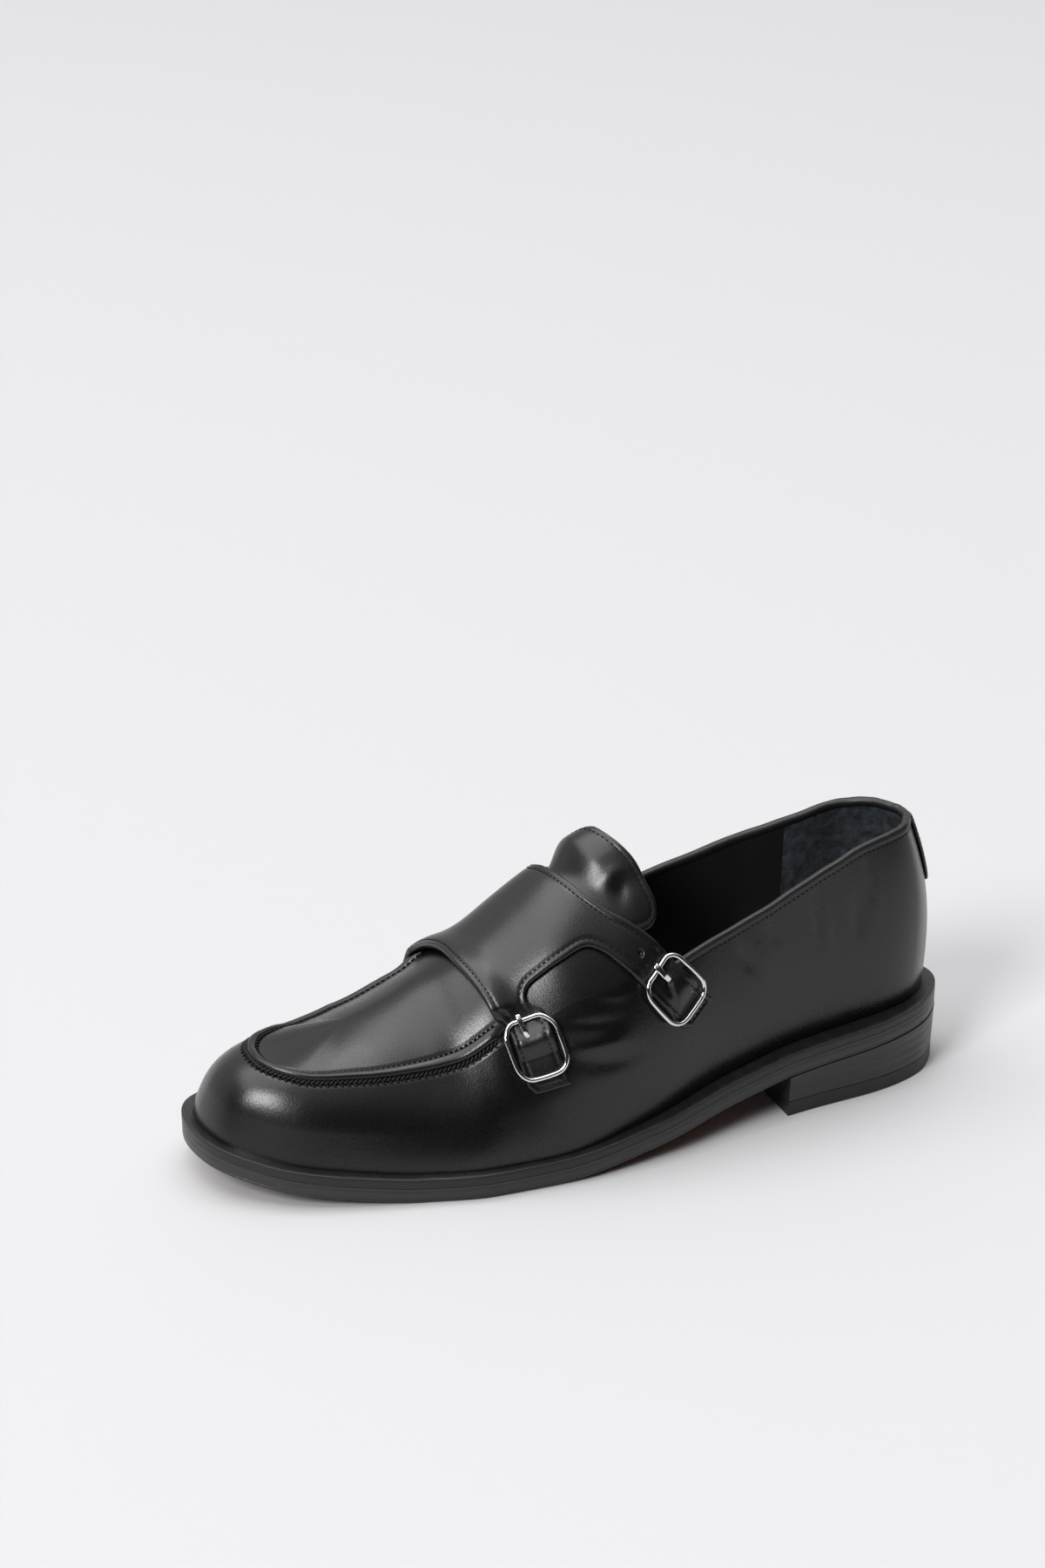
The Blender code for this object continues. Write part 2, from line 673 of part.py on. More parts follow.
class Buckle:
    """Where one buckle sits: its centre in x and g, and the slope of its strap in degrees."""

    def __init__(self, name, place, g, slope, prong_shift):
        self.name, self.x, self.g, self.shift = name, place * LENGTH, g, prong_shift
        along = mid(self.x + NEAR_X, g) - mid(self.x - NEAR_X, g)
        around = mid(self.x, g + NEAR_G) - mid(self.x, g - NEAR_G)
        level = around / np.linalg.norm(around)
        across = along - level * along.dot(level)
        across /= np.linalg.norm(across)
        turned = math.radians(slope)
        down = level * math.cos(turned) - across * math.sin(turned)
        forward = across * math.cos(turned) + level * math.sin(turned)
        surface = np.stack([along / (2 * NEAR_X), around / (2 * NEAR_G)], 1)
        self.axes = np.linalg.lstsq(surface, np.stack([down, forward], 1), rcond=None)[0]
        self.reverse = np.linalg.inv(self.axes)

    def flat(self, down, forward):
        """Place in x and g of a point down the strap and forward across it, in metres."""
        dx, dg = self.axes @ (down, forward)
        return self.x + dx, self.g + dg

    def local(self, x, g):
        """The reverse of flat."""
        return self.reverse @ (x - self.x, g - self.g)

    def put(self, down, forward, height):
        return mid(*self.flat(down, forward), height)


# Steps in x and in g over which the surface under a buckle is read
NEAR_X = 0.004
NEAR_G = 0.05
BUCKLES = (
    Buckle("front", 0.6007, 1.1670, 10.5, 0.0018),
    Buckle("rear", 0.4210, 1.1661, 40.5, 0.0),
)
BAR = BUCKLE_LENGTH / 2 - WIRE / 2
RIDE = LEG_PRESSED + WIRE / 2 + 3 * GAP


def saddle_line():
    """Outline of the strap panel in x and g: over the instep, down the medial side, and round
    the arch between its two legs."""
    front, rear = BUCKLES
    half = LEG_WIDTH / 2

    def leg(buckle):
        sides = (
            (-BAR, half),
            (0.0, half),
            (0.78 * TAB_REACH, half),
            (TAB_REACH, 0.7 * half),
            (TAB_REACH, -1.1 * half),
            (0.0, -1.05 * half),
            (-BAR, -half),
        )
        return [buckle.flat(down, forward) for down, forward in sides]

    points = [(LENGTH * place, g) for g, place in SADDLE_FRONT[:-1]]
    points += leg(front)
    points += [
        (0.5990 * LENGTH, 0.880),
        (0.5950 * LENGTH, 0.815),
        (0.5740 * LENGTH, 0.798),
        (0.5500 * LENGTH, 0.785),
        (0.5230 * LENGTH, 0.768),
        (0.5050 * LENGTH, 0.815),
        (0.4880 * LENGTH, 0.902),
    ]
    points += leg(rear)
    points += [(place * LENGTH, g) for g, place in reversed(SADDLE_BACK)]
    tabs = (11, 12, 13, 25, 26, 27)
    corners = {0, len(points) - 1, *tabs}
    return points, corners


# The saddle lifts off the apron over this run behind its front edge, level for the last of it,
# and comes back to the wall between the seam and this g
STAND_RUN = 0.010
STAND_LEVEL = 0.002
SEAM_G = 1.0
STAND_SIDE_G = 1.15


def saddle(finish):
    points, corners = saddle_line()
    line = closed_curve([(x, g * GIRTH) for x, g in points], corners, 0.0042)

    def thickness(spot):
        x, g = spot[0], spot[1] / GIRTH
        edge = LENGTH * FRONT_EDGE(g)
        stand = smooth(edge - STAND_RUN, edge - STAND_LEVEL, x)
        stand *= 1 - smooth(SEAM_G, STAND_SIDE_G, abs(g))
        lift = GAP + SADDLE_STAND * stand
        over = lift + SADDLE_THICKNESS
        for buckle in BUCKLES:
            down, forward = buckle.local(x, g)
            pressed = smooth(-BAR - 0.005, -BAR - 0.0012, down)
            pressed *= 1 - smooth(0.0118, 0.0150, abs(forward))
            if pressed > 0:
                middle = max(1 - abs(down) / (BAR - 0.0012), 0.0)
                bulge = (LEG_CROWN - LEG_PRESSED) * math.sin(middle * math.pi / 2) ** 1.3
                lift += (GAP - lift) * pressed
                over += (GAP + LEG_PRESSED + bulge - over) * pressed
        return lift, over

    def place(spot, height):
        return mid(spot[0], spot[1] / GIRTH, height)

    return panel("saddle", line, place, thickness, GIRTH / 10, finish)


# Outline of the tongue: place along the length, then g
TONGUE_LINE = (
    (0.4628, -0.040),
    (0.4550, 0.110),
    (0.4455, 0.250),
    (0.4349, 0.395),
    (0.4270, 0.554),
    (0.4200, 0.700),
    (0.4300, 0.795),
    (0.4640, 0.790),
    (0.5200, 0.720),
    (0.6100, 0.520),
    (0.6200, 0.200),
    (0.6200, -0.200),
    (0.6100, -0.520),
    (0.5400, -0.720),
    (0.5040, -0.770),
    (0.4930, -0.640),
    (0.4904, -0.455),
    (0.4790, -0.318),
    (0.4698, -0.172),
)
# How far the tongue stands off behind the throat: g, then share of TONGUE_RISE
TONGUE_STAND = (
    (-1.00, 0.70),
    (-0.70, 0.90),
    (-0.455, 1.00),
    (-0.32, 0.90),
    (-0.04, 0.68),
    (0.25, 0.45),
    (0.395, 0.24),
    (0.55, 0.06),
    (1.00, 0.02),
)
TONGUE_SHARE = columns(TONGUE_STAND)[0]
# The tongue rises over this run behind the edge that covers it
TONGUE_START = 0.001
TONGUE_RUN = 0.013


def tongue(finish):
    """The tongue: it lies under the panel and the throat, and rises behind them."""
    points = [(place * LENGTH, g * GIRTH) for place, g in TONGUE_LINE]
    line = closed_curve(points, set(), 0.0065)

    def thickness(spot):
        x, g = spot[0], spot[1] / GIRTH
        behind = smooth(TONGUE_START, TONGUE_RUN, min(throat_x(g), LENGTH * BACK_EDGE(g)) - x)
        over = TONGUE_RISE * TONGUE_SHARE(g) * behind - WALL - 2 * GAP
        return over - TONGUE_THICKNESS, over

    def place(spot, height):
        return mid(spot[0], spot[1] / GIRTH, height)

    return panel("tongue", line, place, thickness, GIRTH / 9, finish)


# Radius of the heel where the strip lies on it
STRIP_TURN = 0.031


def back_strip(finish):
    """The narrow strip over the seam at the back of the heel, down from the collar."""
    wide = STRIP_WIDTH / 2 / STRIP_TURN
    points = [(wide, 0.985), (wide * 0.92, 0.72), (wide * 0.55, 0.585), (0.0, 0.570)]
    points += [(-a, g) for a, g in reversed(points[:3])]
    line = closed_curve([(a * STRIP_TURN, g * COLLAR_HEIGHT) for a, g in points], {0, 6}, 0.004)

    def place(spot, height):
        return lifted(spot[0] / STRIP_TURN, spot[1] / COLLAR_HEIGHT, height)

    return panel("back_strip", line, place, lambda spot: (GAP, GAP + STRIP_THICKNESS), 0.004, finish)


def tube(name, centres, ups, radius, finish, sides=8, closed=True):
    """A round wire along a line of centres; ups give each section's own upright."""
    points, rows = [], []
    count = len(centres)
    for i in range(count):
        ahead = centres[(i + 1) % count] if closed else centres[min(i + 1, count - 1)]
        behind = centres[i - 1] if closed else centres[max(i - 1, 0)]
        along = (ahead - behind) / np.linalg.norm(ahead - behind)
        up = ups[i] - along * np.dot(ups[i], along)
        up /= np.linalg.norm(up)
        across = np.cross(along, up)
        size = radius[i] if isinstance(radius, list) else radius
        row = []
        for k in range(sides):
            turned = 2 * math.pi * (k + 0.5) / sides
            row.append(len(points))
            points.append(centres[i] + (up * math.cos(turned) + across * math.sin(turned)) * size)
        rows.append(row)
    faces = rings(rows + rows[:1]) if closed else rings(rows)
    if not closed:
        faces += [tuple(rows[0]), tuple(reversed(rows[-1]))]
    return piece(name, points, faces, finish)


def buckle_frame(buckle, finish, corner=4, straight=2):
    """The round-cornered wire frame that lies over the strap, its bars a little bowed."""
    bend = BUCKLE_CORNER - WIRE / 2
    long = BUCKLE_LENGTH / 2 - BUCKLE_CORNER
    wide = BUCKLE_WIDTH / 2 - BUCKLE_CORNER
    route = []
    for quarter, (down, forward) in enumerate(((1, 1), (-1, 1), (-1, -1), (1, -1))):
        for k in range(corner + 1):
            turned = math.pi / 2 * (quarter + k / corner)
            spot = (down * long + bend * math.cos(turned), forward * wide + bend * math.sin(turned))
            route.append(np.array(spot))
    sides = []
    for i, spot in enumerate(route):
        sides.append(spot)
        if i % (corner + 1) == corner:
            ahead = route[(i + 1) % len(route)]
            sides += [spot + (ahead - spot) * k / (straight + 1) for k in range(1, straight + 1)]
    centres, ups = [], []
    for down, forward in sides:
        down *= 1 + 0.05 * (1 - (forward / (wide + bend)) ** 2)
        forward *= 1 + 0.03 * (1 - (down / (long + bend)) ** 2)
        centres.append(buckle.put(down, forward, RIDE))
        ups.append(buckle.put(down, forward, RIDE + 0.001) - centres[-1])
    return tube(buckle.name + "_buckle", centres, ups, WIRE / 2, finish)


def prong(buckle, finish):
    """The flat tongue of the buckle: out of the strap's hole and over the bar."""
    rest = RIDE + WIRE / 2 + PRONG_DEPTH / 2 + GAP
    path = (
        (0.0046, rest - 0.0008),
        (0.0034, rest - 0.0003),
        (0.0014, rest),
        (-0.0006, rest),
        (-0.0018, rest - 0.0002),
    )
    points, rows = [], []
    for i, (past_bar, height) in enumerate(path):
        half = PRONG / 2 * (0.8 if i == len(path) - 1 else 1.0)
        middle = buckle.shift - PRONG_SLANT * past_bar
        row = []
        for across, rise in ((-1, -0.5), (1, -0.5), (1, 0.2), (0.5, 0.5), (-0.5, 0.5), (-1, 0.2)):
            row.append(len(points))
            height_here = height + rise * PRONG_DEPTH
            points.append(buckle.put(past_bar - BAR, middle + across * half, height_here))
        rows.append(row)
    faces = rings(rows) + [tuple(rows[0]), tuple(reversed(rows[-1]))]
    return piece(buckle.name + "_prong", points, faces, finish)


def main():
    for made in list(bpy.data.objects):
        bpy.data.objects.remove(made)
    leather = (0.010, 0.010, 0.012)
    upper(material("upper_leather", leather, 0.30))
    saddle(material("saddle_leather", leather, 0.28))
    tongue(material("tongue_leather", leather, 0.36))
    back_strip(material("strip_leather", leather, 0.32))
    insole(material("insole_leather", (0.035, 0.030, 0.028), 0.55))
    welt(material("welt_leather", (0.014, 0.014, 0.015), 0.50))
    outsole(material("sole_leather", (0.016, 0.015, 0.015), 0.48))
    heel_stack(material("heel_leather", (0.014, 0.013, 0.013), 0.45))
    heel_lift(material("lift_rubber", (0.012, 0.012, 0.012), 0.55))
    for buckle in BUCKLES:
        buckle_frame(buckle, material(buckle.name + "_frame_steel", (0.72, 0.72, 0.74), 0.16, 1.0))
        prong(buckle, material(buckle.name + "_prong_steel", (0.72, 0.72, 0.74), 0.18, 1.0))


main()
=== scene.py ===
# %% [markdown]
# # A left loafer with two buckled straps
# A shoemaker pulls leather over a last, a solid form of the foot, and sews and lasts every
# piece to it. This script does the same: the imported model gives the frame, the surface of the
# last is written as one function, and each leather piece is laid on that function.
# Loading the frame first keeps every piece in the CAD model's own metres.

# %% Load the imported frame
import math

import bmesh
import bpy
import numpy as np
from mathutils import Matrix, Vector, geometry


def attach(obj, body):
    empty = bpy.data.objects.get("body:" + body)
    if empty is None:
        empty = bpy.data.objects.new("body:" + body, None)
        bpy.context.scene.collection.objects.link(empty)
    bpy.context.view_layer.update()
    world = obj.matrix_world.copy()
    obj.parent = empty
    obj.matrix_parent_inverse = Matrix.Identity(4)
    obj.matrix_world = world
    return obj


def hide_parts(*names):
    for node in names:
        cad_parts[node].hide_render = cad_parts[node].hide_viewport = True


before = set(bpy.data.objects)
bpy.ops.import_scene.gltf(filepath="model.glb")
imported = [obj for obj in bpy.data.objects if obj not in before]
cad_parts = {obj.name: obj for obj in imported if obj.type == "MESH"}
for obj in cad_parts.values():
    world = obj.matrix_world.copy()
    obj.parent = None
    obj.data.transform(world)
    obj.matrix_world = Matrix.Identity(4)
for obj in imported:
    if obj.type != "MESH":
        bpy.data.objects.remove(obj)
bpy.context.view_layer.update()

# %% [markdown]
# ## The last
# A last could be sculpted, but then no edge or seam would follow a change of size. Here it is
# a few driving sizes and short tables of shares: the sole's outline, the shoulder line where
# side wall and top meet, and the ridge over the instep. They are those of the CAD source.

# %% Driving sizes and tables
LENGTH = 0.300
BALL_WIDTH = 0.104
HEEL_LENGTH = 0.0764
HEEL_BACK = 0.0223
HEEL_BREAST = 0.01645
HEEL_TAPER = 0.0008
LIFT_THICKNESS = 0.0060
OUTSOLE_THICKNESS = 0.0056
WELT_THICKNESS = 0.00365
WELT_WIDTH = 0.0078
WELT_BAND = 0.0150
TOE_SPRING = 0.0114
BALL_X = 0.206
FLAT_SPOT = 0.024
COLLAR_HEIGHT = 0.0696
INSTEP_HEIGHT = 0.0830
TOE_HEIGHT = 0.0262
WALL = 0.0020
GAP = 0.0003
EDGE = OUTSOLE_THICKNESS + GAP + WELT_THICKNESS
HEEL_POLE = 0.120 * LENGTH
TOE_POLE = 0.793 * LENGTH
THROAT_SIDE = 0.420 * LENGTH
THROAT_TOP = 0.565 * LENGTH
THROAT_BOW = 1.6
GIRTH = 0.048

# Sole outline: place along the length, then lateral and medial reach as shares of BALL_WIDTH
OUTLINE = (
    (0.000, 0.000, 0.000),
    (0.015, 0.119, 0.119),
    (0.050, 0.221, 0.221),
    (0.120, 0.301, 0.303),
    (0.220, 0.347, 0.303),
    (0.330, 0.416, 0.262),
    (0.450, 0.512, 0.255),
    (0.570, 0.555, 0.330),
    (0.670, 0.554, 0.412),
    (0.750, 0.512, 0.438),
    (0.830, 0.456, 0.418),
    (0.900, 0.387, 0.365),
    (0.950, 0.295, 0.285),
    (0.985, 0.185, 0.175),
    (1.000, 0.000, 0.000),
)
# Welt left showing outside the upper: place, then share of WELT_WIDTH on each side
MARGIN = (
    (0.00, 0.64, 0.64),
    (0.06, 0.80, 0.80),
    (0.15, 1.05, 0.95),
    (0.28, 0.95, 0.75),
    (0.42, 0.85, 0.65),
    (0.55, 0.82, 0.75),
    (0.72, 0.90, 0.90),
    (0.85, 1.00, 0.95),
    (1.00, 0.86, 0.86),
)
# Underside of the outsole ahead of the heel: place between breast and ball, share of HEEL_BREAST
ARCH = ((0.00, 1.00), (0.25, 0.72), (0.53, 0.34), (0.86, 0.03), (1.00, 0.00))
# Toe spring: place between ball and tip, share of TOE_SPRING
SPRING = ((0.00, 0.00), (0.12, 0.02), (0.30, 0.13), (0.63, 0.42), (1.00, 1.00))

# Shoulder line, where side wall and top meet; behind the throat it is the top line.
# Place, reach as a share of the spoke, height as shares of collar, instep and toe heights,
# lean of the lower wall as a share of WELT_WIDTH, roll of the upper wall in degrees, crown.
# Both sides share the rows round the heel and the one at the tip.
HEEL_ROWS = (
    (0.000, 0.690, 1.000, 0.000, 0.000, 0.38, 22.0, 2.0),
    (0.020, 0.740, 1.010, 0.000, 0.000, 0.36, 21.0, 2.0),
    (0.050, 0.810, 1.018, 0.000, 0.000, 0.32, 18.0, 2.0),
)
TIP_ROW = (1.000, 0.680, 0.000, 0.000, 1.000, 0.30, 74.0, 1.6)
LATERAL = HEEL_ROWS + (
    (0.120, 0.850, 1.010, 0.000, 0.000, 0.28, 13.0, 2.0),
    (0.180, 0.910, 0.955, 0.000, 0.000, 0.30, 7.0, 1.8),
    (0.250, 0.930, 0.870, 0.000, 0.000, 0.32, 6.0, 1.7),
    (0.330, 0.870, 0.797, 0.000, 0.000, 0.34, 12.0, 1.7),
    (0.400, 0.860, 0.764, 0.000, 0.000, 0.34, 18.0, 1.7),
    (0.480, 0.845, 0.400, 0.312, 0.000, 0.34, 24.0, 1.8),
    (0.570, 0.780, 0.150, 0.470, 0.000, 0.34, 28.0, 2.6),
    (0.630, 0.735, 0.000, 0.500, 0.050, 0.34, 30.0, 2.8),
    (0.670, 0.715, 0.000, 0.410, 0.120, 0.34, 34.0, 2.4),
    (0.710, 0.695, 0.000, 0.270, 0.420, 0.33, 39.0, 1.9),
    (0.780, 0.700, 0.000, 0.130, 0.780, 0.32, 44.0, 1.7),
    (0.850, 0.722, 0.000, 0.040, 0.992, 0.30, 50.0, 1.7),
    (0.920, 0.748, 0.000, 0.000, 1.053, 0.30, 60.0, 1.6),
    (0.970, 0.730, 0.000, 0.000, 1.019, 0.30, 70.0, 1.6),
    TIP_ROW,
)
MEDIAL = HEEL_ROWS + (
    (0.120, 0.880, 1.005, 0.000, 0.000, 0.32, 12.0, 2.0),
    (0.180, 0.980, 0.950, 0.000, 0.000, 0.50, 4.0, 1.8),
    (0.250, 1.080, 0.895, 0.000, 0.000, 0.75, 2.0, 1.7),
    (0.330, 1.230, 0.855, 0.000, 0.000, 1.05, 6.0, 1.7),
    (0.400, 1.290, 0.810, 0.000, 0.000, 1.20, 12.0, 1.7),
    (0.480, 1.130, 0.450, 0.330, 0.000, 1.05, 20.0, 1.8),
    (0.570, 0.860, 0.150, 0.590, 0.000, 0.70, 27.0, 2.4),
    (0.630, 0.680, 0.000, 0.650, 0.050, 0.45, 32.0, 2.2),
    (0.690, 0.640, 0.000, 0.541, 0.050, 0.38, 36.0, 1.7),
    (0.720, 0.630, 0.000, 0.396, 0.350, 0.35, 39.0, 1.6),
    (0.780, 0.622, 0.000, 0.171, 0.811, 0.32, 44.0, 1.6),
    (0.850, 0.612, 0.000, 0.048, 1.016, 0.30, 52.0, 1.6),
    (0.920, 0.606, 0.000, 0.000, 1.072, 0.30, 62.0, 1.6),
    (0.970, 0.625, 0.000, 0.000, 1.024, 0.30, 70.0, 1.6),
    TIP_ROW,
)
# Ridge over the instep: place, height as shares of instep and toe heights, side shift as a
# share of BALL_WIDTH. Behind the throat it guides the tongue only.
RIDGE = (
    (0.300, 1.250, 0.000, 0.000),
    (0.400, 1.190, 0.000, -0.020),
    (0.473, 1.117, 0.000, -0.035),
    (0.527, 1.027, 0.000, -0.040),
    (0.583, 0.900, 0.000, -0.040),
    (0.623, 0.800, 0.000, -0.035),
    (0.683, 0.672, 0.000, -0.025),
    (0.713, 0.600, 0.060, -0.018),
    (0.777, 0.270, 0.780, -0.004),
    (0.843, 0.110, 1.010, 0.000),
    (0.917, 0.000, 1.120, 0.000),
    (1.000, 0.000, 1.150, 0.000),
)
# Front edge of the strap panel over the instep: g, then place along the length
SADDLE_FRONT = (
    (-1.40, 0.694),
    (-1.20, 0.690),
    (-0.90, 0.676),
    (-0.345, 0.6675),
    (0.036, 0.663),
    (0.326, 0.659),
    (0.559, 0.6527),
    (0.753, 0.6457),
    (0.900, 0.6400),
    (1.400, 0.6300),
)
# Its back edge, the same way
SADDLE_BACK = (
    (-1.400, 0.4400),
    (-1.020, 0.4450),
    (-0.860, 0.4750),
    (-0.640, 0.5100),
    (-0.344, 0.5310),
    (0.000, 0.5290),
    (0.373, 0.5130),
    (0.613, 0.4860),
    (0.780, 0.4530),
)
print("sizes", LENGTH, BALL_WIDTH, "rows", len(OUTLINE), len(LATERAL), len(MEDIAL), len(RIDGE))

# %% [markdown]
# A table of a few rows gives a bent line if it is read straight, and a free cubic overshoots
# between its rows. A monotone cubic does neither, so it is used for every table. Along the
# outline the places are read as angles, which bunches the sections at toe and heel, where
# the shoe turns fastest.

# %% Smooth curves through the tables
def spline(places, values):
    """A monotone cubic through a short table, as a function of place (one or many)."""
    xs, ys = np.array(places, float), np.array(values, float)
    step = np.diff(xs)
    slope = np.diff(ys) / step
    tangent = np.zeros(len(xs))
    tangent[0], tangent[-1] = slope[0], slope[-1]
    for i in range(1, len(xs) - 1):
        if slope[i - 1] * slope[i] > 0:
            near, far = 2 * step[i] + step[i - 1], step[i] + 2 * step[i - 1]
            tangent[i] = (near + far) / (near / slope[i - 1] + far / slope[i])

    def at(place):
        i = np.clip(np.searchsorted(xs, place) - 1, 0, len(step) - 1)
        t = np.clip((place - xs[i]) / step[i], 0.0, 1.0)
        first = ys[i] * (1 + 2 * t) * (1 - t) ** 2 + tangent[i] * step[i] * t * (1 - t) ** 2
        return first + ys[i + 1] * t * t * (3 - 2 * t) - tangent[i + 1] * step[i] * t * t * (1 - t)

    return at


def turn(place):
    """Angle of a place along the outline, from 0 at the heel to pi at the toe."""
    return np.arccos(1 - 2 * np.clip(place, 0.0, 1.0))


def columns(table, spread=lambda place: place):
    """One curve for each column of a table after its first."""
    places = [float(spread(row[0])) for row in table]
    return [spline(places, values) for values in list(zip(*table))[1:]]


def smooth(low, high, value):
    """A soft step from 0 at low to 1 at high."""
    t = np.clip((value - low) / (high - low), 0.0, 1.0)
    return t * t * (3 - 2 * t)


OUT_LATERAL, OUT_MEDIAL = columns(OUTLINE, turn)
MARGIN_LATERAL, MARGIN_MEDIAL = columns(MARGIN, turn)
SHOULDER_LATERAL, SHOULDER_MEDIAL = columns(LATERAL, turn), columns(MEDIAL, turn)
RIDGE_INSTEP, RIDGE_TOE, RIDGE_SHIFT = columns(RIDGE)
ARCH_SHARE = columns(ARCH)[0]
SPRING_SHARE = columns(SPRING)[0]
FRONT_EDGE = columns(SADDLE_FRONT)[0]
BACK_EDGE = columns(SADDLE_BACK)[0]


def by_side(angle, lateral, medial):
    """The lateral curve for positive angles and the medial one for negative angles."""
    return np.where(angle >= 0, lateral(np.abs(angle)), medial(np.abs(angle)))


print("outline half widths", float(OUT_LATERAL(2.0)), float(OUT_MEDIAL(2.0)))


# %% Underside and edge of the sole
def tread(x):
    """Height of the outsole's underside above the floor."""
    front, back = BALL_X + FLAT_SPOT / 2, BALL_X - FLAT_SPOT / 2
    x = np.asarray(x, float)
    heel = HEEL_BACK + (HEEL_BREAST - HEEL_BACK) * np.clip(x, 0.0, None) / HEEL_LENGTH
    arch = HEEL_BREAST * ARCH_SHARE((x - HEEL_LENGTH) / (back - HEEL_LENGTH))
    toe = TOE_SPRING * SPRING_SHARE((x - front) / (LENGTH - front))
    return np.where(x <= HEEL_LENGTH, heel, np.where(x <= back, arch, np.where(x <= front, 0, toe)))


def outline(angle):
    """Points of the sole's edge. Positive angles run along the lateral side."""
    angle = (np.asarray(angle, float) + math.pi) % (2 * math.pi) - math.pi
    width = BALL_WIDTH * by_side(angle, OUT_LATERAL, OUT_MEDIAL)
    return np.stack([LENGTH * (1 - np.cos(angle)) / 2, np.where(angle >= 0, 1, -1) * width], -1)


def inset(angle, distance):
    """Points that lie a distance inside the sole's edge."""
    along = outline(angle + 0.01) - outline(angle - 0.01)
    along /= np.linalg.norm(along, axis=-1, keepdims=True)
    across = np.stack([along[..., 1], -along[..., 0]], -1)
    return outline(angle) + np.asarray(distance)[..., None] * across


def unit(vectors):
    return vectors / np.maximum(np.linalg.norm(vectors, axis=-1, keepdims=True), 1e-12)


EDGE_Y = outline(np.linspace(-math.pi, math.pi, 1441))[:, 1]
CENTRE = np.array((LENGTH / 2, (EDGE_Y.max() + EDGE_Y.min()) / 2, 0.0))


def ridge(x):
    """Height of the last's ridge."""
    place = x / LENGTH
    rise = INSTEP_HEIGHT * RIDGE_INSTEP(place) + TOE_HEIGHT * RIDGE_TOE(place)
    return tread(x) + EDGE + GAP + rise


print("centre", CENTRE.round(5), "ridge at the throat", round(float(ridge(THROAT_TOP)), 4))

# %% [markdown]
# Every point of the upper is named by two numbers: the angle round the sole's edge, and the
# girth, from 0 at the welt to 1 on the shoulder and 2 on the ridge. The side wall is one
# cubic curve per angle, and the top is a crowned line to the ridge. Because skin, lining,
# straps and seams all ask the same function, they lie on each other at any size.

# %% Surface of the last
def build_ring(count=8001):
    """One row for each angle: foot, hub, floor, radius, and the shoulder's five values."""
    angle = np.linspace(-math.pi, math.pi, count)
    margin = WELT_WIDTH * by_side(angle, MARGIN_LATERAL, MARGIN_MEDIAL)
    foot = inset(angle, margin)
    hub_x = np.clip(foot[:, 0], HEEL_POLE, TOE_POLE)
    hub = np.stack([hub_x, BALL_WIDTH * RIDGE_SHIFT(hub_x / LENGTH)], -1)
    floor = tread(foot[:, 0]) + EDGE + GAP
    radius = np.linalg.norm(foot - hub, axis=1)
    shoulder = [by_side(angle, a, b) for a, b in zip(SHOULDER_LATERAL, SHOULDER_MEDIAL)]
    reach, collar, instep, toe, lean, roll, crown = shoulder
    rise = collar * COLLAR_HEIGHT + instep * INSTEP_HEIGHT + toe * TOE_HEIGHT
    rows = [foot[:, 0], foot[:, 1], hub[:, 0], hub[:, 1], floor, radius]
    return angle, np.array(rows + [reach, rise, lean * WELT_WIDTH, np.radians(roll), crown])


RING_ANGLE, RING = build_ring()
print("sections", len(RING_ANGLE))


def ring(angle):
    """The rows of the ring at one or many angles."""
    angle = (np.asarray(angle, float) + math.pi) % (2 * math.pi) - math.pi
    return [np.interp(angle, RING_ANGLE, row) for row in RING]


def angle_at(x, side):
    """Angle of the section that stands at x, on the lateral (1) or medial (-1) side."""
    half = RING_ANGLE >= 0 if side > 0 else RING_ANGLE <= 0
    angles, places = RING_ANGLE[half], RING[0][half]
    order = np.argsort(places)
    return np.interp(x, places[order], angles[order])


def skin(angle, girth):
    """The upper's outer surface: girth 0 at the welt, 1 on the shoulder, 2 on the ridge."""
    angle, girth = np.broadcast_arrays(np.asarray(angle, float), np.asarray(girth, float))
    foot_x, foot_y, hub_x, hub_y, floor, radius, reach, rise, lean, roll, crown = ring(angle)
    out = np.stack([foot_x - hub_x, foot_y - hub_y], -1) / radius[..., None]
    hub = np.stack([hub_x, hub_y], -1)
    handle = 0.38 * np.hypot(radius * (1 - reach), rise)
    t = np.clip(girth, 0, 1)
    w0, w1, w2, w3 = (1 - t) ** 3, 3 * t * (1 - t) ** 2, 3 * t * t * (1 - t), t**3
    r = w0 * radius + w1 * (radius + lean) + w2 * (radius * reach + handle * np.sin(roll))
    r = r + w3 * radius * reach
    z = w1 * handle + w2 * (rise - handle * np.cos(roll)) + w3 * rise
    side = hub + out * r[..., None]
    edge = hub + out * (radius * reach)[..., None]
    drop = ridge(edge[..., 0]) - floor - rise
    share = np.clip(girth - 1, 0, 1)
    over = edge + (hub - edge) * share[..., None]
    top = ridge(over[..., 0]) - drop * (1 - share) ** crown
    wall = girth <= 1
    plan = np.where(wall[..., None], side, over)
    return np.concatenate([plan, np.where(wall, floor + z, top)[..., None]], -1)


def wall_chord(angle):
    """Straight distance from the welt up to the shoulder."""
    radius, reach, rise = ring(angle)[5:8]
    return np.hypot(radius * (1 - reach), rise)


def top_reach(angle):
    """Distance from the shoulder in to the hub."""
    radius, reach = ring(angle)[5:7]
    return radius * reach


def normal(angle, girth):
    """Outward direction of the last's surface."""
    girth = np.minimum(girth, 1.97)
    up = skin(angle, np.minimum(girth + 0.02, 2.0)) - skin(angle, np.maximum(girth - 0.02, 0.0))
    along = skin(angle + 0.012, girth) - skin(angle - 0.012, girth)
    return unit(np.cross(up, along))


def lifted(angle, girth, height):
    """Points a height off the last's surface."""
    return skin(angle, girth) + normal(angle, girth) * np.asarray(height)[..., None]


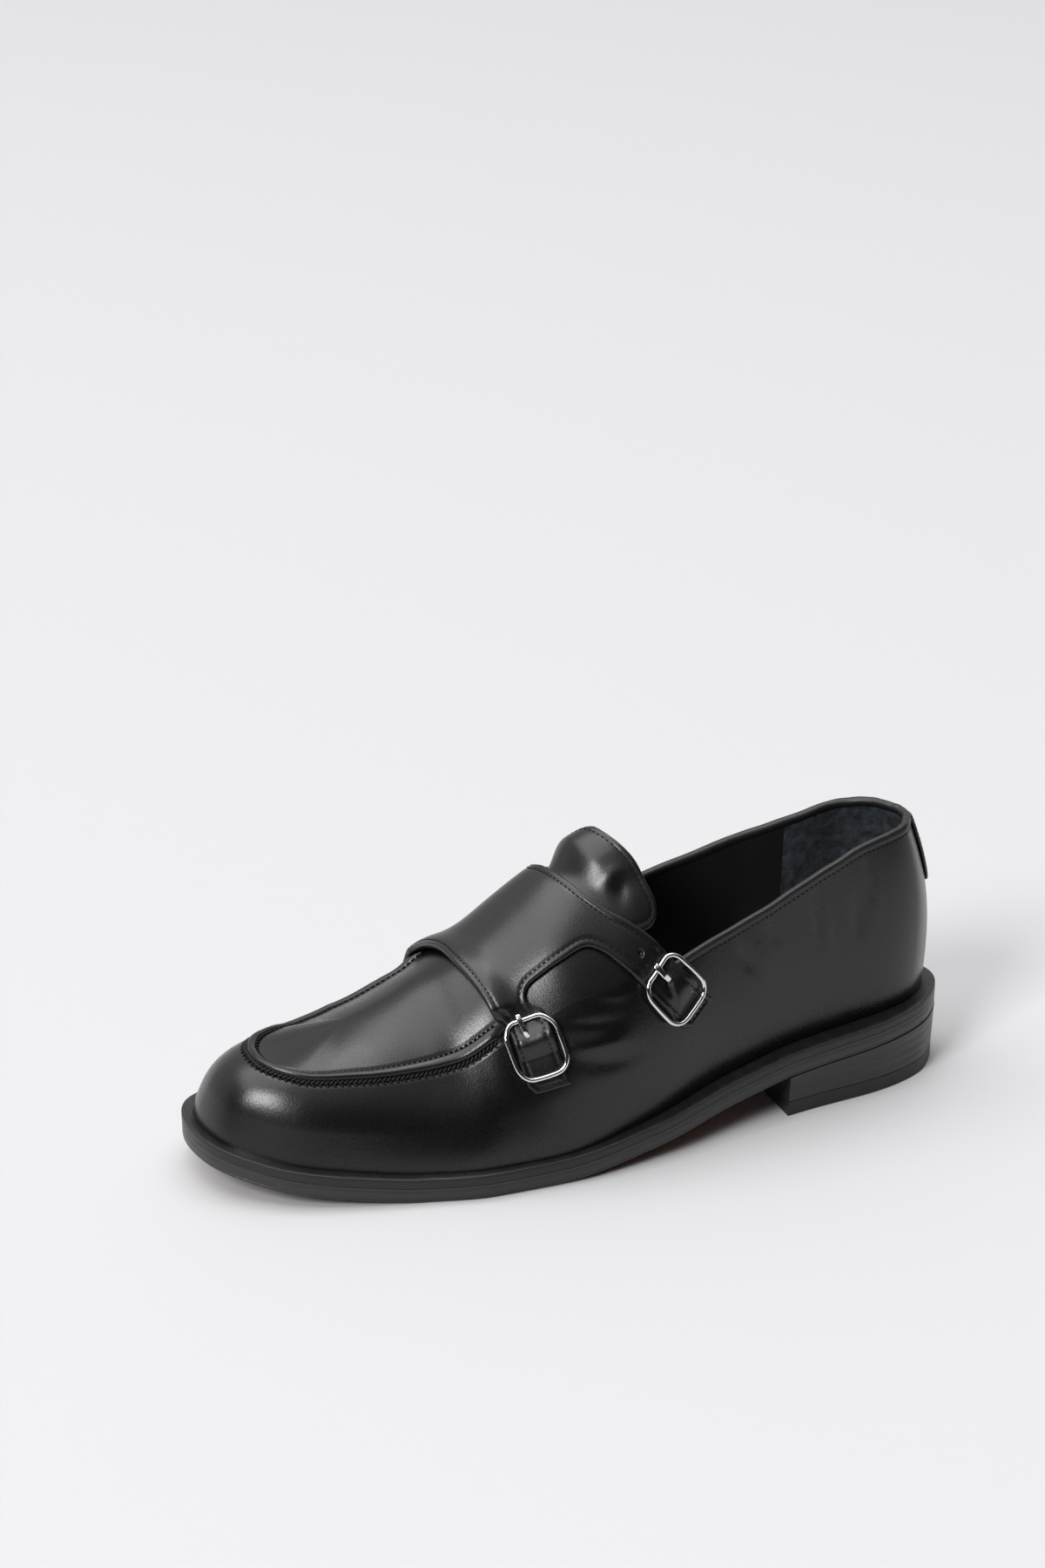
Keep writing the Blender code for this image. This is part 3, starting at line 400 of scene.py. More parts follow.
# %% Places by length and girth
def mid(x, g, height=0.0):
    """g is 0 on the ridge, 1 on the shoulder, 2 at the welt, and negative on the medial side."""
    x, g, height = np.broadcast_arrays(*(np.asarray(v, float) for v in (x, g, height)))
    angle = np.where(g >= 0, angle_at(x, 1), angle_at(x, -1))
    return lifted(angle, 2 - np.abs(g), height)


def throat_reach(x):
    """How far up to the ridge the top reaches at x, from 0 at the throat's side to 1."""
    share = np.clip((x - THROAT_SIDE) / (THROAT_TOP - THROAT_SIDE), 0.0, 1.0)
    return share**THROAT_BOW


def throat_x(g):
    """Where the throat's edge lies at g."""
    share = np.maximum(1 - np.abs(g), 0.0) ** (1 / THROAT_BOW)
    return THROAT_SIDE + (THROAT_TOP - THROAT_SIDE) * share


print("last height at mid length", round(float(mid(LENGTH / 2, 0)[2]), 4))

# %% [markdown]
# ## Mesh helpers
# Most pieces are grids of points joined by quads, which bmesh could also bridge loop by loop.
# Writing the points first and the faces after is faster and keeps even, long quads, which
# shade well. Doubles are merged and the normals recalculated, so every shell faces outwards.

# %% Pieces from grids of points
def add_piece(name, points, faces, finish, angle=60):
    """A smooth piece that rides on the one body; edges steeper than the angle stay sharp."""
    mesh = bpy.data.meshes.new(name)
    mesh.from_pydata((np.asarray(points) - CENTRE).tolist(), [], faces)
    work = bmesh.new()
    work.from_mesh(mesh)
    bmesh.ops.remove_doubles(work, verts=work.verts[:], dist=1e-6)
    bmesh.ops.recalc_face_normals(work, faces=work.faces[:])
    work.to_mesh(mesh)
    work.free()
    mesh.materials.append(finish)
    mesh.shade_smooth()
    mesh.set_sharp_from_angle(angle=math.radians(angle))
    made = bpy.data.objects.new(name, mesh)
    bpy.context.scene.collection.objects.link(made)
    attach(made, "root")
    print(name, len(mesh.polygons), "faces")
    return made


def grid_faces(rows, cols, first=0, wrap=False):
    """Quads of a grid of points stored row by row."""
    i, j = np.meshgrid(np.arange(rows - 1), np.arange(cols if wrap else cols - 1), indexing="ij")
    near, far = first + i * cols + j, first + i * cols + (j + 1) % cols
    quads = np.stack([near, far, far + cols, near + cols], -1).reshape(-1, 4)
    return quads.tolist()


def sweep(name, sections, finish, closed=False, angle=60):
    """A skin through sections, an array of (sections, points round each, 3)."""
    count, around = sections.shape[:2]
    points = sections.reshape(-1, 3)
    if closed:
        points = np.concatenate([points, points[:around]])
        faces = grid_faces(count + 1, around, wrap=True)
    else:
        faces = grid_faces(count, around, wrap=True)
        faces += [list(range(around)), list(range((count - 1) * around, count * around))]
    return add_piece(name, points, faces, finish, angle)


def tube(name, centres, ups, radius, finish, sides, flat):
    """A closed wire along a line of centres, pressed flat by a share."""
    along = unit(np.roll(centres, -1, 0) - np.roll(centres, 1, 0))
    up = unit(ups - along * np.sum(along * ups, -1, keepdims=True))
    across = np.cross(along, up)
    turned = 2 * math.pi * (np.arange(sides) + 0.5) / sides
    rise = up[:, None] * (np.cos(turned) * flat)[None, :, None]
    spread = across[:, None] * np.sin(turned)[None, :, None]
    return sweep(name, centres[:, None] + (rise + spread) * radius, finish, closed=True)


def resample(line, spacing, margin=0.0):
    """Even places along a fine line of points: index positions as floats."""
    length = np.concatenate([[0], np.cumsum(np.linalg.norm(np.diff(line, axis=0), axis=1))])
    count = max(2, int((length[-1] - 2 * margin) / spacing))
    places = np.linspace(margin, length[-1] - margin, count)
    return np.interp(places, length, np.arange(len(line)))


def pick(values, index):
    """Rows of an array at index positions between the rows."""
    low = np.clip(np.floor(index).astype(int), 0, len(values) - 2)
    share = (index - low)[:, None]
    return values[low] * (1 - share) + values[low + 1] * share


print("2 mm places round the sole", len(resample(outline(RING_ANGLE), 0.002)))

# %% [markdown]
# ## Sewn thread
# A stitch is a short thread that dips into the leather at both ends. Hundreds of them could be
# placed by an Array along a curve, but slants and pitches differ from seam to seam. One
# Geometry Nodes tool puts an oval thread on each point, turned by the point's own attribute,
# and makes the copies real, because instances don't leave Blender.

# %% Geometry Nodes tool for threads
def stitch_tool():
    """Geometry Nodes: an oval thread on every point, turned by the point's own 'turn'."""
    tool = bpy.data.node_groups.new("Sewn thread", "GeometryNodeTree")
    face = tool.interface
    face.new_socket("Geometry", in_out="INPUT", socket_type="NodeSocketGeometry")
    face.new_socket("Size", in_out="INPUT", socket_type="NodeSocketVector")
    face.new_socket("Finish", in_out="INPUT", socket_type="NodeSocketMaterial")
    face.new_socket("Geometry", in_out="OUTPUT", socket_type="NodeSocketGeometry")
    nodes, links = tool.nodes, tool.links
    source, result = nodes.new("NodeGroupInput"), nodes.new("NodeGroupOutput")
    ball = nodes.new("GeometryNodeMeshUVSphere")
    ball.inputs["Segments"].default_value = 8
    ball.inputs["Rings"].default_value = 5
    ball.inputs["Radius"].default_value = 0.5
    attribute = nodes.new("GeometryNodeInputNamedAttribute")
    attribute.data_type = "FLOAT_VECTOR"
    attribute.inputs["Name"].default_value = "turn"
    copies = nodes.new("GeometryNodeInstanceOnPoints")
    real = nodes.new("GeometryNodeRealizeInstances")
    shade = nodes.new("GeometryNodeSetShadeSmooth")
    paint = nodes.new("GeometryNodeSetMaterial")
    links.new(source.outputs["Geometry"], copies.inputs["Points"])
    links.new(ball.outputs["Mesh"], copies.inputs["Instance"])
    links.new(attribute.outputs["Attribute"], copies.inputs["Rotation"])
    links.new(source.outputs["Size"], copies.inputs["Scale"])
    links.new(copies.outputs["Instances"], real.inputs["Geometry"])
    links.new(real.outputs["Geometry"], shade.inputs["Geometry"])
    links.new(shade.outputs["Geometry"], paint.inputs["Geometry"])
    links.new(source.outputs["Finish"], paint.inputs["Material"])
    links.new(paint.outputs["Geometry"], result.inputs["Geometry"])
    return tool


THREAD = stitch_tool()
print("thread tool", [item.name for item in THREAD.interface.items_tree])


# %% Sewing along a line
SEAM_END = 0.001


def sew(name, points, along, up, size, finish, slant=0.0):
    """Threads at the points. size is length, width and height; slant turns each about up."""
    up = unit(up)
    along = unit(along - up * np.sum(along * up, -1, keepdims=True))
    across = np.cross(up, along)
    first = along * math.cos(slant) + across * math.sin(slant)
    second = np.cross(up, first)
    turns = [
        Matrix((tuple(a), tuple(b), tuple(c))).transposed().to_euler()[:]
        for a, b, c in zip(first, second, up)
    ]
    mesh = bpy.data.meshes.new(name + "_points")
    mesh.from_pydata((points - CENTRE).tolist(), [], [])
    mesh.attributes.new("turn", "FLOAT_VECTOR", "POINT")
    mesh.attributes["turn"].data.foreach_set("vector", np.array(turns, np.float32).ravel())
    holder = bpy.data.objects.new(name, mesh)
    bpy.context.scene.collection.objects.link(holder)
    modifier = holder.modifiers.new("thread", "NODES")
    modifier.node_group = THREAD
    sockets = {item.name: item.identifier for item in THREAD.interface.items_tree}
    modifier[sockets["Size"]] = size
    modifier[sockets["Finish"]] = finish
    graph = bpy.context.evaluated_depsgraph_get()
    sewn = bpy.data.meshes.new_from_object(holder.evaluated_get(graph))
    holder.modifiers.remove(modifier)
    bpy.data.objects.remove(holder)
    made = bpy.data.objects.new(name, sewn)
    bpy.context.scene.collection.objects.link(made)
    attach(made, "root")
    print(name, len(points), "threads")
    return made


def seam(name, line, ups, finish, pitch, size, slant=0.0):
    """Threads along a fine line of points with their upright directions."""
    index = resample(line, pitch, SEAM_END)
    tangent = pick(np.gradient(line, axis=0), index)
    return sew(name, pick(line, index), tangent, pick(ups, index), size, finish, slant)


print("a seam stops", SEAM_END, "short of its line's ends")


# %% [markdown]
# ## Leather and other finishes
# Black calf is nearly colourless: what the eye reads is its gloss, broken by pores, by fine
# creasing and by slow patches of polish. An image could hold that, but a procedural grain is
# sharp at any distance. The grain is one node group that all leathers share, and each leather
# sets its own colour, gloss and relief.

# %% Noise and value helpers for shaders
def noise(group, scale, detail=3.0, rough=0.5, stretch=(1, 1, 1), kind="NOISE"):
    """A noise on the object's own metres; stretch squeezes it along each axis."""
    place = group.nodes.new("ShaderNodeTexCoord")
    mapping = group.nodes.new("ShaderNodeMapping")
    mapping.inputs["Scale"].default_value = stretch
    group.links.new(place.outputs["Object"], mapping.inputs["Vector"])
    made = group.nodes.new("ShaderNodeTexVoronoi" if kind == "CELLS" else "ShaderNodeTexNoise")
    made.inputs["Scale"].default_value = scale
    if kind == "CELLS":
        made.feature = "SMOOTH_F1"
        made.inputs["Smoothness"].default_value = 0.6
        group.links.new(mapping.outputs["Vector"], made.inputs["Vector"])
        return made.outputs["Distance"]
    made.inputs["Detail"].default_value = detail
    made.inputs["Roughness"].default_value = rough
    group.links.new(mapping.outputs["Vector"], made.inputs["Vector"])
    return made.outputs["Fac"]


def ramp(group, value, low, high, to_low=0.0, to_high=1.0):
    """The value's range from low to high, run out to another range."""
    made = group.nodes.new("ShaderNodeMapRange")
    made.inputs["From Min"].default_value = low
    made.inputs["From Max"].default_value = high
    made.inputs["To Min"].default_value = to_low
    made.inputs["To Max"].default_value = to_high
    group.links.new(value, made.inputs["Value"])
    return made.outputs["Result"]


def mix(group, kind, first, second):
    """A Math node fed by sockets or numbers."""
    made = group.nodes.new("ShaderNodeMath")
    made.operation = kind
    for socket, value in zip(made.inputs, (first, second)):
        if isinstance(value, (int, float)):
            socket.default_value = value
        else:
            group.links.new(value, socket)
    return made.outputs["Value"]


def weighed(group, value, weight, rest):
    """One value times a weight, plus another value."""
    made = mix(group, "MULTIPLY_ADD", value, weight)
    group.links.new(rest, made.node.inputs[2])
    return made


print("shader helpers", noise.__name__, ramp.__name__, mix.__name__, weighed.__name__)


# %% Grain of calf leather
def calf_group():
    """Fine pores with soft creasing between them, and slow patches of polish."""
    group = bpy.data.node_groups.new("Calf grain", "ShaderNodeTree")
    face = group.interface
    for label, weight in (("Pores", 0.35), ("Waves", 0.5), ("Patches", 0.7)):
        face.new_socket(label, in_out="INPUT", socket_type="NodeSocketFloat").default_value = weight
    for label in ("Height", "Polish"):
        face.new_socket(label, in_out="OUTPUT", socket_type="NodeSocketFloat")
    source, result = group.nodes.new("NodeGroupInput"), group.nodes.new("NodeGroupOutput")
    cells = noise(group, 1500, kind="CELLS")
    fine = noise(group, 1400, 4.0, 0.6, (1.0, 0.55, 1.0))
    slow = noise(group, 90, 2.0, 0.5)
    height = weighed(group, cells, source.outputs["Pores"], fine)
    total = weighed(group, slow, source.outputs["Waves"], height)
    group.links.new(total, result.inputs["Height"])
    rubbed = ramp(group, fine, 0.3, 0.7, 0.0, 0.3)
    patches = weighed(group, noise(group, 28, 3.0, 0.55), source.outputs["Patches"], rubbed)
    group.links.new(patches, result.inputs["Polish"])
    return group


CALF = calf_group()
print("calf grain", len(CALF.nodes), "nodes")


# %% Leather materials
def material(name, colour, roughness, metallic=0.0):
    """A new material, its node tree and its Principled BSDF."""
    made = bpy.data.materials.new(name)
    made.use_nodes = True
    shader = made.node_tree.nodes["Principled BSDF"]
    shader.inputs["Base Color"].default_value = (*colour, 1.0)
    shader.inputs["Roughness"].default_value = roughness
    shader.inputs["Metallic"].default_value = metallic
    return made, made.node_tree, shader


def bump(tree, shader, height, distance):
    """Relief of a set height in metres."""
    made = tree.nodes.new("ShaderNodeBump")
    made.inputs["Distance"].default_value = distance
    tree.links.new(height, made.inputs["Height"])
    tree.links.new(made.outputs["Normal"], shader.inputs["Normal"])


def calf(name, colour, low, high, relief=0.00006, coat=0.0, mirror=0.5):
    """A leather whose roughness runs from low to high over its patches of polish."""
    made, tree, shader = material(name, colour, low)
    grain = tree.nodes.new("ShaderNodeGroup")
    grain.node_tree = CALF
    polish = ramp(tree, grain.outputs["Polish"], 0.25, 0.85, low, high)
    tree.links.new(polish, shader.inputs["Roughness"])
    bump(tree, shader, grain.outputs["Height"], relief)
    shader.inputs["Specular IOR Level"].default_value = mirror
    shader.inputs["Coat Weight"].default_value = coat
    shader.inputs["Coat Roughness"].default_value = 0.22
    return made


def edge_leather(name, colour, roughness, lines=2600, relief=0.00006):
    """The dressed edge of a leather sole: fine level lines under a satin dressing."""
    made, tree, shader = material(name, colour, roughness)
    level = noise(tree, 1.0, 2.0, 0.5, (90, 90, lines))
    specks = noise(tree, 700, 3.0, 0.6)
    bump(tree, shader, weighed(tree, specks, 0.5, level), relief)
    rubbed = ramp(tree, level, 0.3, 0.7, roughness - 0.06, roughness + 0.08)
    tree.links.new(rubbed, shader.inputs["Roughness"])
    return made


BLACK = (0.0028, 0.0028, 0.0033)
UPPER_SKIN = calf("upper_calf", BLACK, 0.23, 0.36, 0.00005, coat=0.10, mirror=0.46)
print("upper leather", len(UPPER_SKIN.node_tree.nodes), "nodes")

# %% Finishes of the other pieces
SADDLE_SKIN = calf("saddle_calf", BLACK, 0.26, 0.40, 0.00006, coat=0.15)
TONGUE_SKIN = calf("tongue_calf", BLACK, 0.28, 0.42, 0.00005, coat=0.10)
BINDING_SKIN = calf("binding_calf", (0.0075, 0.0075, 0.0085), 0.36, 0.5, 0.00008)
STRIP_SKIN = calf("strip_calf", BLACK, 0.30, 0.45)
THREAD_BLACK = calf("waxed_thread", (0.0018, 0.0018, 0.0018), 0.6, 0.8, 0.00003, mirror=0.28)
BRAID_BLACK = calf("braid_thread", (0.0020, 0.0020, 0.0022), 0.45, 0.65, 0.00004, mirror=0.28)
WELT_SKIN = edge_leather("welt_edge", (0.007, 0.007, 0.008), 0.42)
HEEL_SKIN = edge_leather("heel_edge", (0.017, 0.0165, 0.017), 0.38, 900, 0.00003)
LIFT_SKIN = edge_leather("lift_edge", (0.009, 0.009, 0.009), 0.48)
SOLE_EDGE = edge_leather("sole_edge", (0.020, 0.020, 0.021), 0.38)
LINING = calf("lining_smooth", (0.006, 0.006, 0.007), 0.5, 0.65)
SOCK = calf("sock_leather", (0.010, 0.010, 0.011), 0.5, 0.7)
print("finishes", [made.name for made in bpy.data.materials])

# %% [markdown]
# ## Suede and nickel
# Suede is leather with a raised nap, dull and mottled where it has been rubbed, and the buckles
# are polished metal plated with nickel. Hair strands could stand for the nap, but at this
# distance a coarse noise in colour and relief reads the same. The metal has a faint noise in its
# roughness, so that its highlights break up a little.

# %% Suede and nickel
def two_tone(tree, shader, share, first, second):
    """Base colour between two colours, by a share."""
    colour = tree.nodes.new("ShaderNodeMix")
    colour.data_type = "RGBA"
    tree.links.new(share, colour.inputs["Factor"])
    colour.inputs["A"].default_value = (*first, 1)
    colour.inputs["B"].default_value = (*second, 1)
    tree.links.new(colour.outputs["Result"], shader.inputs["Base Color"])


def lining_material():
    """Navy-grey suede with a short, rubbed nap."""
    made, tree, shader = material("lining_suede", (0.01, 0.012, 0.016), 0.9)
    nap = noise(tree, 260, 5.0, 0.65)
    fine = noise(tree, 1800, 3.0, 0.6)
    bump(tree, shader, weighed(tree, fine, 0.5, nap), 0.0005)
    two_tone(tree, shader, ramp(tree, nap, 0.35, 0.7), (0.005, 0.007, 0.010), (0.045, 0.055, 0.066))
    return made


def steel_material():
    """Polished nickel with faint rubbing marks."""
    made, tree, shader = material("polished_nickel", (0.78, 0.76, 0.73), 0.10, 1.0)
    rub = noise(tree, 420, 4.0, 0.6, (1, 1, 0.4))
    tree.links.new(ramp(tree, rub, 0.35, 0.75, 0.07, 0.20), shader.inputs["Roughness"])
    bump(tree, shader, rub, 0.00001)
    return made


SUEDE = lining_material()
STEEL = steel_material()
print("materials", len(bpy.data.materials))

# %% [markdown]
# ## Upper
# Quarters, vamp and apron are one leather envelope pulled over the last. The apron's edge is
# gathered into a raised bead, and wear leaves creases under the collar and between the straps.
# Bump alone would leave the outline smooth, so bead and creases are real heights: a profile
# across the seam, and soft troughs or ridges along short listed lines.

# %% Bead and creases
# Bead of the apron: distance inwards from the seam, then height, both in mm
BEAD = (
    (-3.20, 0.00), (-2.50, -0.10), (-1.60, -0.40), (-0.80, -0.40), (-0.35, 0.15),
    (0.00, 1.00), (0.30, 1.45), (0.70, 1.60), (1.20, 1.55), (1.80, 1.36),
    (2.40, 1.05), (2.70, 0.45), (2.95, -0.28), (3.40, -0.20), (4.30, 0.00),
)
VAMP_SPREAD = 0.0028
VAMP_SPREAD_GIRTH = 0.38
CREASE_HEIGHT = 0.0014
# Creases: start x and g, end x and g, half width in mm, share of CREASE_HEIGHT (below 0 a trough)
CREASES = (
    (0.0640, 1.10, 0.0600, 1.42, 1.6, -0.45),
    (0.0600, 1.16, 0.0570, 1.50, 2.4, 0.30),
    (0.0410, 1.10, 0.0370, 1.36, 1.5, -0.40),
    (0.0450, 1.22, 0.0430, 1.50, 3.4, -0.55),
    (0.0380, 1.18, 0.0350, 1.42, 2.4, 0.25),
    (0.0960, 1.14, 0.0900, 1.36, 2.2, -0.40),
    (0.0830, 1.10, 0.0790, 1.26, 1.6, -0.30),
    (0.0890, 1.16, 0.0830, 1.44, 3.0, 0.30),
    (0.1720, 1.10, 0.1480, 1.22, 3.0, -0.60),
    (0.1700, 1.24, 0.1500, 1.34, 3.4, 0.55),
    (0.1640, 1.40, 0.1400, 1.50, 4.0, -0.50),
    (0.1580, 0.96, 0.1440, 1.06, 2.6, 0.40),
)


def vamp_base(girth, x):
    """The vamp spreads a little just above the welt, so its low wall faces up."""
    low = np.clip(1 - girth / VAMP_SPREAD_GIRTH, 0, 1) ** 2
    return VAMP_SPREAD * low * smooth(0.110, 0.180, x)


def crease_height(points):
    """Sum of the creases at points on the surface, in metres."""
    total = np.zeros(len(points))
    share = np.linspace(0, 1, 12)
    bend = np.sin(share * math.pi) * 0.02
    for x0, g0, x1, g1, half, height in CREASES:
        line = mid(x0 + (x1 - x0) * share, g0 + (g1 - g0) * share + bend)
        away = np.linalg.norm(points[:, None] - line[None], axis=2)
        taper = np.sin(math.pi * (0.08 + 0.84 * share))[np.argmin(away, axis=1)]
        fade = np.exp(-((np.min(away, axis=1) / (half * 0.001)) ** 2))
        total += CREASE_HEIGHT * height * taper * fade
    return total


def bead_profile(across):
    """Height of the apron's edge by distance inwards from the seam, in metres."""
    places, heights = zip(*BEAD)
    return np.interp(across * 1000, places, heights) * 0.001


def bead_strength(x, side):
    """The bead runs out under the saddle's front edge."""
    front = LENGTH * FRONT_EDGE(float(side))
    if side > 0:
        return smooth(front - 0.0015, front + 0.0030, x)
    return smooth(front - 0.006, front - 0.002, x)


print("bead height in mm", max(height for place, height in BEAD), "creases", len(CREASES))

# %% Outer skin
# Even rows up the wall, close ones at the seam and over the bead, then even ones to the ridge
SKIN_COLUMNS = 640
WALL_ROWS = 38
SEAM_ROWS = 40
BEAD_ROWS = 26
TOP_ROWS = 30
SEAM_BAND = 0.0065
SEAM_HEIGHT = 0.00095
BEAD_BAND = 0.0048
BEAD_END = 0.0056
THROAT_FADE = 0.0070


def envelope(name, wall, top, foot_x, finish):
    """One skin of the wall's grid and the top's, which starts ahead of the throat's side."""
    rows, cols = wall.shape[:2]
    first = rows * cols
    used = foot_x > THROAT_SIDE
    faces = grid_faces(rows, cols)
    faces += [
        face
        for face in grid_faces(len(top), cols, first)
        if used[(face[0] - first) % cols] and used[(face[1] - first) % cols]
    ]
    points = np.concatenate([wall.reshape(-1, 3), top.reshape(-1, 3)])
    return add_piece(name, points, faces, finish)


def upper_wall(angle, foot_x, strength):
    """Side wall with the bead's outer half, the vamp's spread and the creases."""
    chord = wall_chord(angle)
    low = np.linspace(0, 1, WALL_ROWS, endpoint=False)[:, None]
    below = np.linspace(SEAM_BAND, 0.0, SEAM_ROWS)[:, None]
    girth = np.concatenate([low * (1 - (SEAM_BAND + GAP) / chord), 1 - below / chord])
    points = skin(angle, girth)
    height = bead_profile((girth - 1) * chord) * strength
    height[-1] = SEAM_HEIGHT * strength
    height += vamp_base(girth, foot_x)
    height += crease_height(points.reshape(-1, 3)).reshape(height.shape)
    return points + normal(angle, girth) * height[..., None]


def upper_top(angle, foot_x, strength):
    """Top from the seam to the ridge: rows set by distance, then by share."""
    across = top_reach(angle)
    share = throat_reach(foot_x)
    near = np.append(np.linspace(0, BEAD_BAND, BEAD_ROWS), BEAD_END)[:, None]
    near = near * np.minimum(1, share * across / THROAT_FADE) / across
    far = np.linspace(0, 1, TOP_ROWS)[1:, None]
    girth = 1 + np.concatenate([near, near[-1:] + (share - near[-1:]) * far])
    return lifted(angle, girth, bead_profile((girth - 1) * across) * strength)


def upper_skin():
    """The whole outer skin of the upper."""
    angle = np.linspace(-math.pi, math.pi, SKIN_COLUMNS + 1)
    foot_x = ring(angle)[0]
    strength = np.where(angle >= 0, bead_strength(foot_x, 1), bead_strength(foot_x, -1))
    wall, top = upper_wall(angle, foot_x, strength), upper_top(angle, foot_x, strength)
    return envelope("upper_skin", wall, top, foot_x, UPPER_SKIN)


upper = upper_skin()
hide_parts("upper")


# %% [markdown]
# ## Lining
# Inside, smooth leather runs forward from a seam and napped suede grips the heel. It could be
# the back of a Solidify, but a sheet of its own, one wall thickness inside the skin, takes two
# materials and leaves the collar to its binding.

# %% Inner skin
SUEDE_REACH = 0.053
LINING_COLUMNS = 360
LINING_ROWS = 30
LINING_TOP_ROWS = 24


def lining():
    """The inner skin, a wall's thickness inside, in suede round the heel."""
    angle = np.linspace(-math.pi, math.pi, LINING_COLUMNS + 1)
    foot_x = ring(angle)[0]
    wall = lifted(angle, np.linspace(0, 1, LINING_ROWS)[:, None], -WALL)
    share = np.linspace(0, 1, LINING_TOP_ROWS)[:, None]
    top = lifted(angle, 1 + share * throat_reach(foot_x), -WALL)
    made = envelope("lining", wall, top, foot_x, LINING)
    made.data.materials.append(SUEDE)
    for polygon in made.data.polygons:
        if polygon.center[0] + CENTRE[0] < SUEDE_REACH:
            polygon.material_index = 1
    return made


inside = lining()


# %% [markdown]
# ## Collar
# The top line is bound with a strip of leather rolled over the edge and sewn below it. A bevelled
# curve would give a round cord. Sweeping a drawn section along the top line gives the flat
# outer face and the fuller roll that the strip has.

# %% Binding of the collar
# Where the binding starts on the lateral side and ends on the medial one, by length
COLLAR_LATERAL = 0.1290
COLLAR_MEDIAL = 0.1400
COLLAR_SECTIONS = 600
BINDING_WEAR = 0.00012
# Section of the binding in mm: up the wall, then out from it
BINDING = (
    (-3.0, 0.02), (-2.9, 0.45), (-2.5, 0.72), (-1.8, 0.88), (-1.0, 0.86), (-0.3, 0.70),
    (0.2, 0.25), (0.42, -0.4), (0.40, -1.1), (0.15, -1.8), (-0.4, -2.25), (-1.6, -2.45),
    (-2.6, -2.2), (-2.6, -1.4), (-2.8, -0.6),
)
COLLAR = np.linspace(angle_at(COLLAR_LATERAL, 1), angle_at(COLLAR_MEDIAL, -1), COLLAR_SECTIONS)


def collar_binding():
    """The rolled edge of the collar, a little uneven with wear."""
    top = skin(COLLAR, 1.0)
    up = unit(top - skin(COLLAR, 0.97))
    out = unit(normal(COLLAR, 0.99))
    count = np.arange(COLLAR_SECTIONS)
    wear = BINDING_WEAR * np.sin(count * 0.21) * np.cos(count * 0.047)
    top = top + up * wear[:, None]
    sections = np.stack([top + (up * rise + out * reach) * 0.001 for rise, reach in BINDING], 1)
    return sweep("collar_binding", sections, BINDING_SKIN)


binding = collar_binding()


# %% Stitches under the binding
def line_on(angle, girth, height):
    """Points a height off the last, and the upright direction at each."""
    return lifted(angle, girth, height), normal(angle, girth)


def below_top(angle, distance):
    """Girth a set distance below the top line."""
    return 1 - distance / wall_chord(angle)


line, ups = line_on(COLLAR, below_top(COLLAR, 0.0034), 0.00002)
seams = [seam("collar_stitches", line, ups, THREAD_BLACK, 0.0021, (0.0016, 0.00055, 0.00045))]

# %% [markdown]
# ## Apron seam
# The apron is joined by hand: fine stitches and whipped threads run inside the bead, and a
# two-row braid of waxed thread stands in the groove outside it. Curves could be twisted round
# each other for that. Rows of ovals on lines of the last are lighter, and the slant and the
# overlap of the ovals make the twist.

# %% Seam round the toe
STITCH_INSET = 0.0032
WHIP_START = math.pi - 0.30
# Distance outside the seam, lift, slant, pitch and thread size of the braid's two rows
BRAID = (
    (0.0010, 0.00010, 0.62, 0.0017, (0.0032, 0.0012, 0.0011)),
    (0.0022, -0.00002, -0.55, 0.0025, (0.0021, 0.0008, 0.0007)),
)


def apron_angles(count=1600):
    """Angles along the seam from the lateral side, round the toe, to the medial side."""
    start = float(angle_at(LENGTH * FRONT_EDGE(1.0) + 0.0015, 1))
    stop = float(angle_at(LENGTH * FRONT_EDGE(-1.0) - 0.002, -1))
    return np.linspace(start, 2 * math.pi + stop, count)


SEAM = apron_angles()
inner = 1 + STITCH_INSET / top_reach(SEAM)
near = SEAM < WHIP_START
line, ups = line_on(SEAM[near], inner[near], -0.00002)
seams.append(seam("apron_stitches", line, ups, THREAD_BLACK, 0.0019, (0.0013, 0.0006, 0.0005)))
line, ups = line_on(SEAM[~near], inner[~near], 0.0002)
seams.append(seam("apron_whip", line, ups, THREAD_BLACK, 0.0022, (0.0023, 0.0010, 0.0009), -0.60))
for row, (distance, lift, slant, pitch, size) in enumerate(BRAID):
    line, ups = line_on(SEAM, below_top(SEAM, distance), lift)
    seams.append(seam(f"apron_braid_{row}", line, ups, BRAID_BLACK, pitch, size, slant))

# %% [markdown]
# ## Cut panels
# Straps, tongue and back strip are cut from flat leather, skived at the edge, sewn in a shallow
# groove and laid over the last. A Boolean of two curved sheets would leave ragged edges. Here
# the cut line is drawn flat, filled with an even net of triangles that gets denser at the
# edge, given a thickness, and then every point is carried to the last.

# %% Flat outlines and nets
OUTLINE_STEP = 0.0009
FINE_STEP = 0.0004


def closed_curve(points, step, corners=()):
    """A smooth closed line through points, with a kink at the numbered corners."""
    line = []
    count = len(points)
    for i in range(count):
        p0, p1, p2, p3 = (np.array(points[(i + k) % count], float) for k in (-1, 0, 1, 2))
        start = (p2 - p1) if i in corners else (p2 - p0) / 2
        stop = (p2 - p1) if (i + 1) % count in corners else (p3 - p1) / 2
        steps = max(1, int(round(np.linalg.norm(p2 - p1) / step)))
        t = (np.arange(steps) / steps)[:, None]
        first = p1 * (1 + 2 * t) * (1 - t) ** 2 + start * t * (1 - t) ** 2
        line.append(first + p2 * t * t * (3 - 2 * t) - stop * t * t * (1 - t))
    return np.concatenate(line)


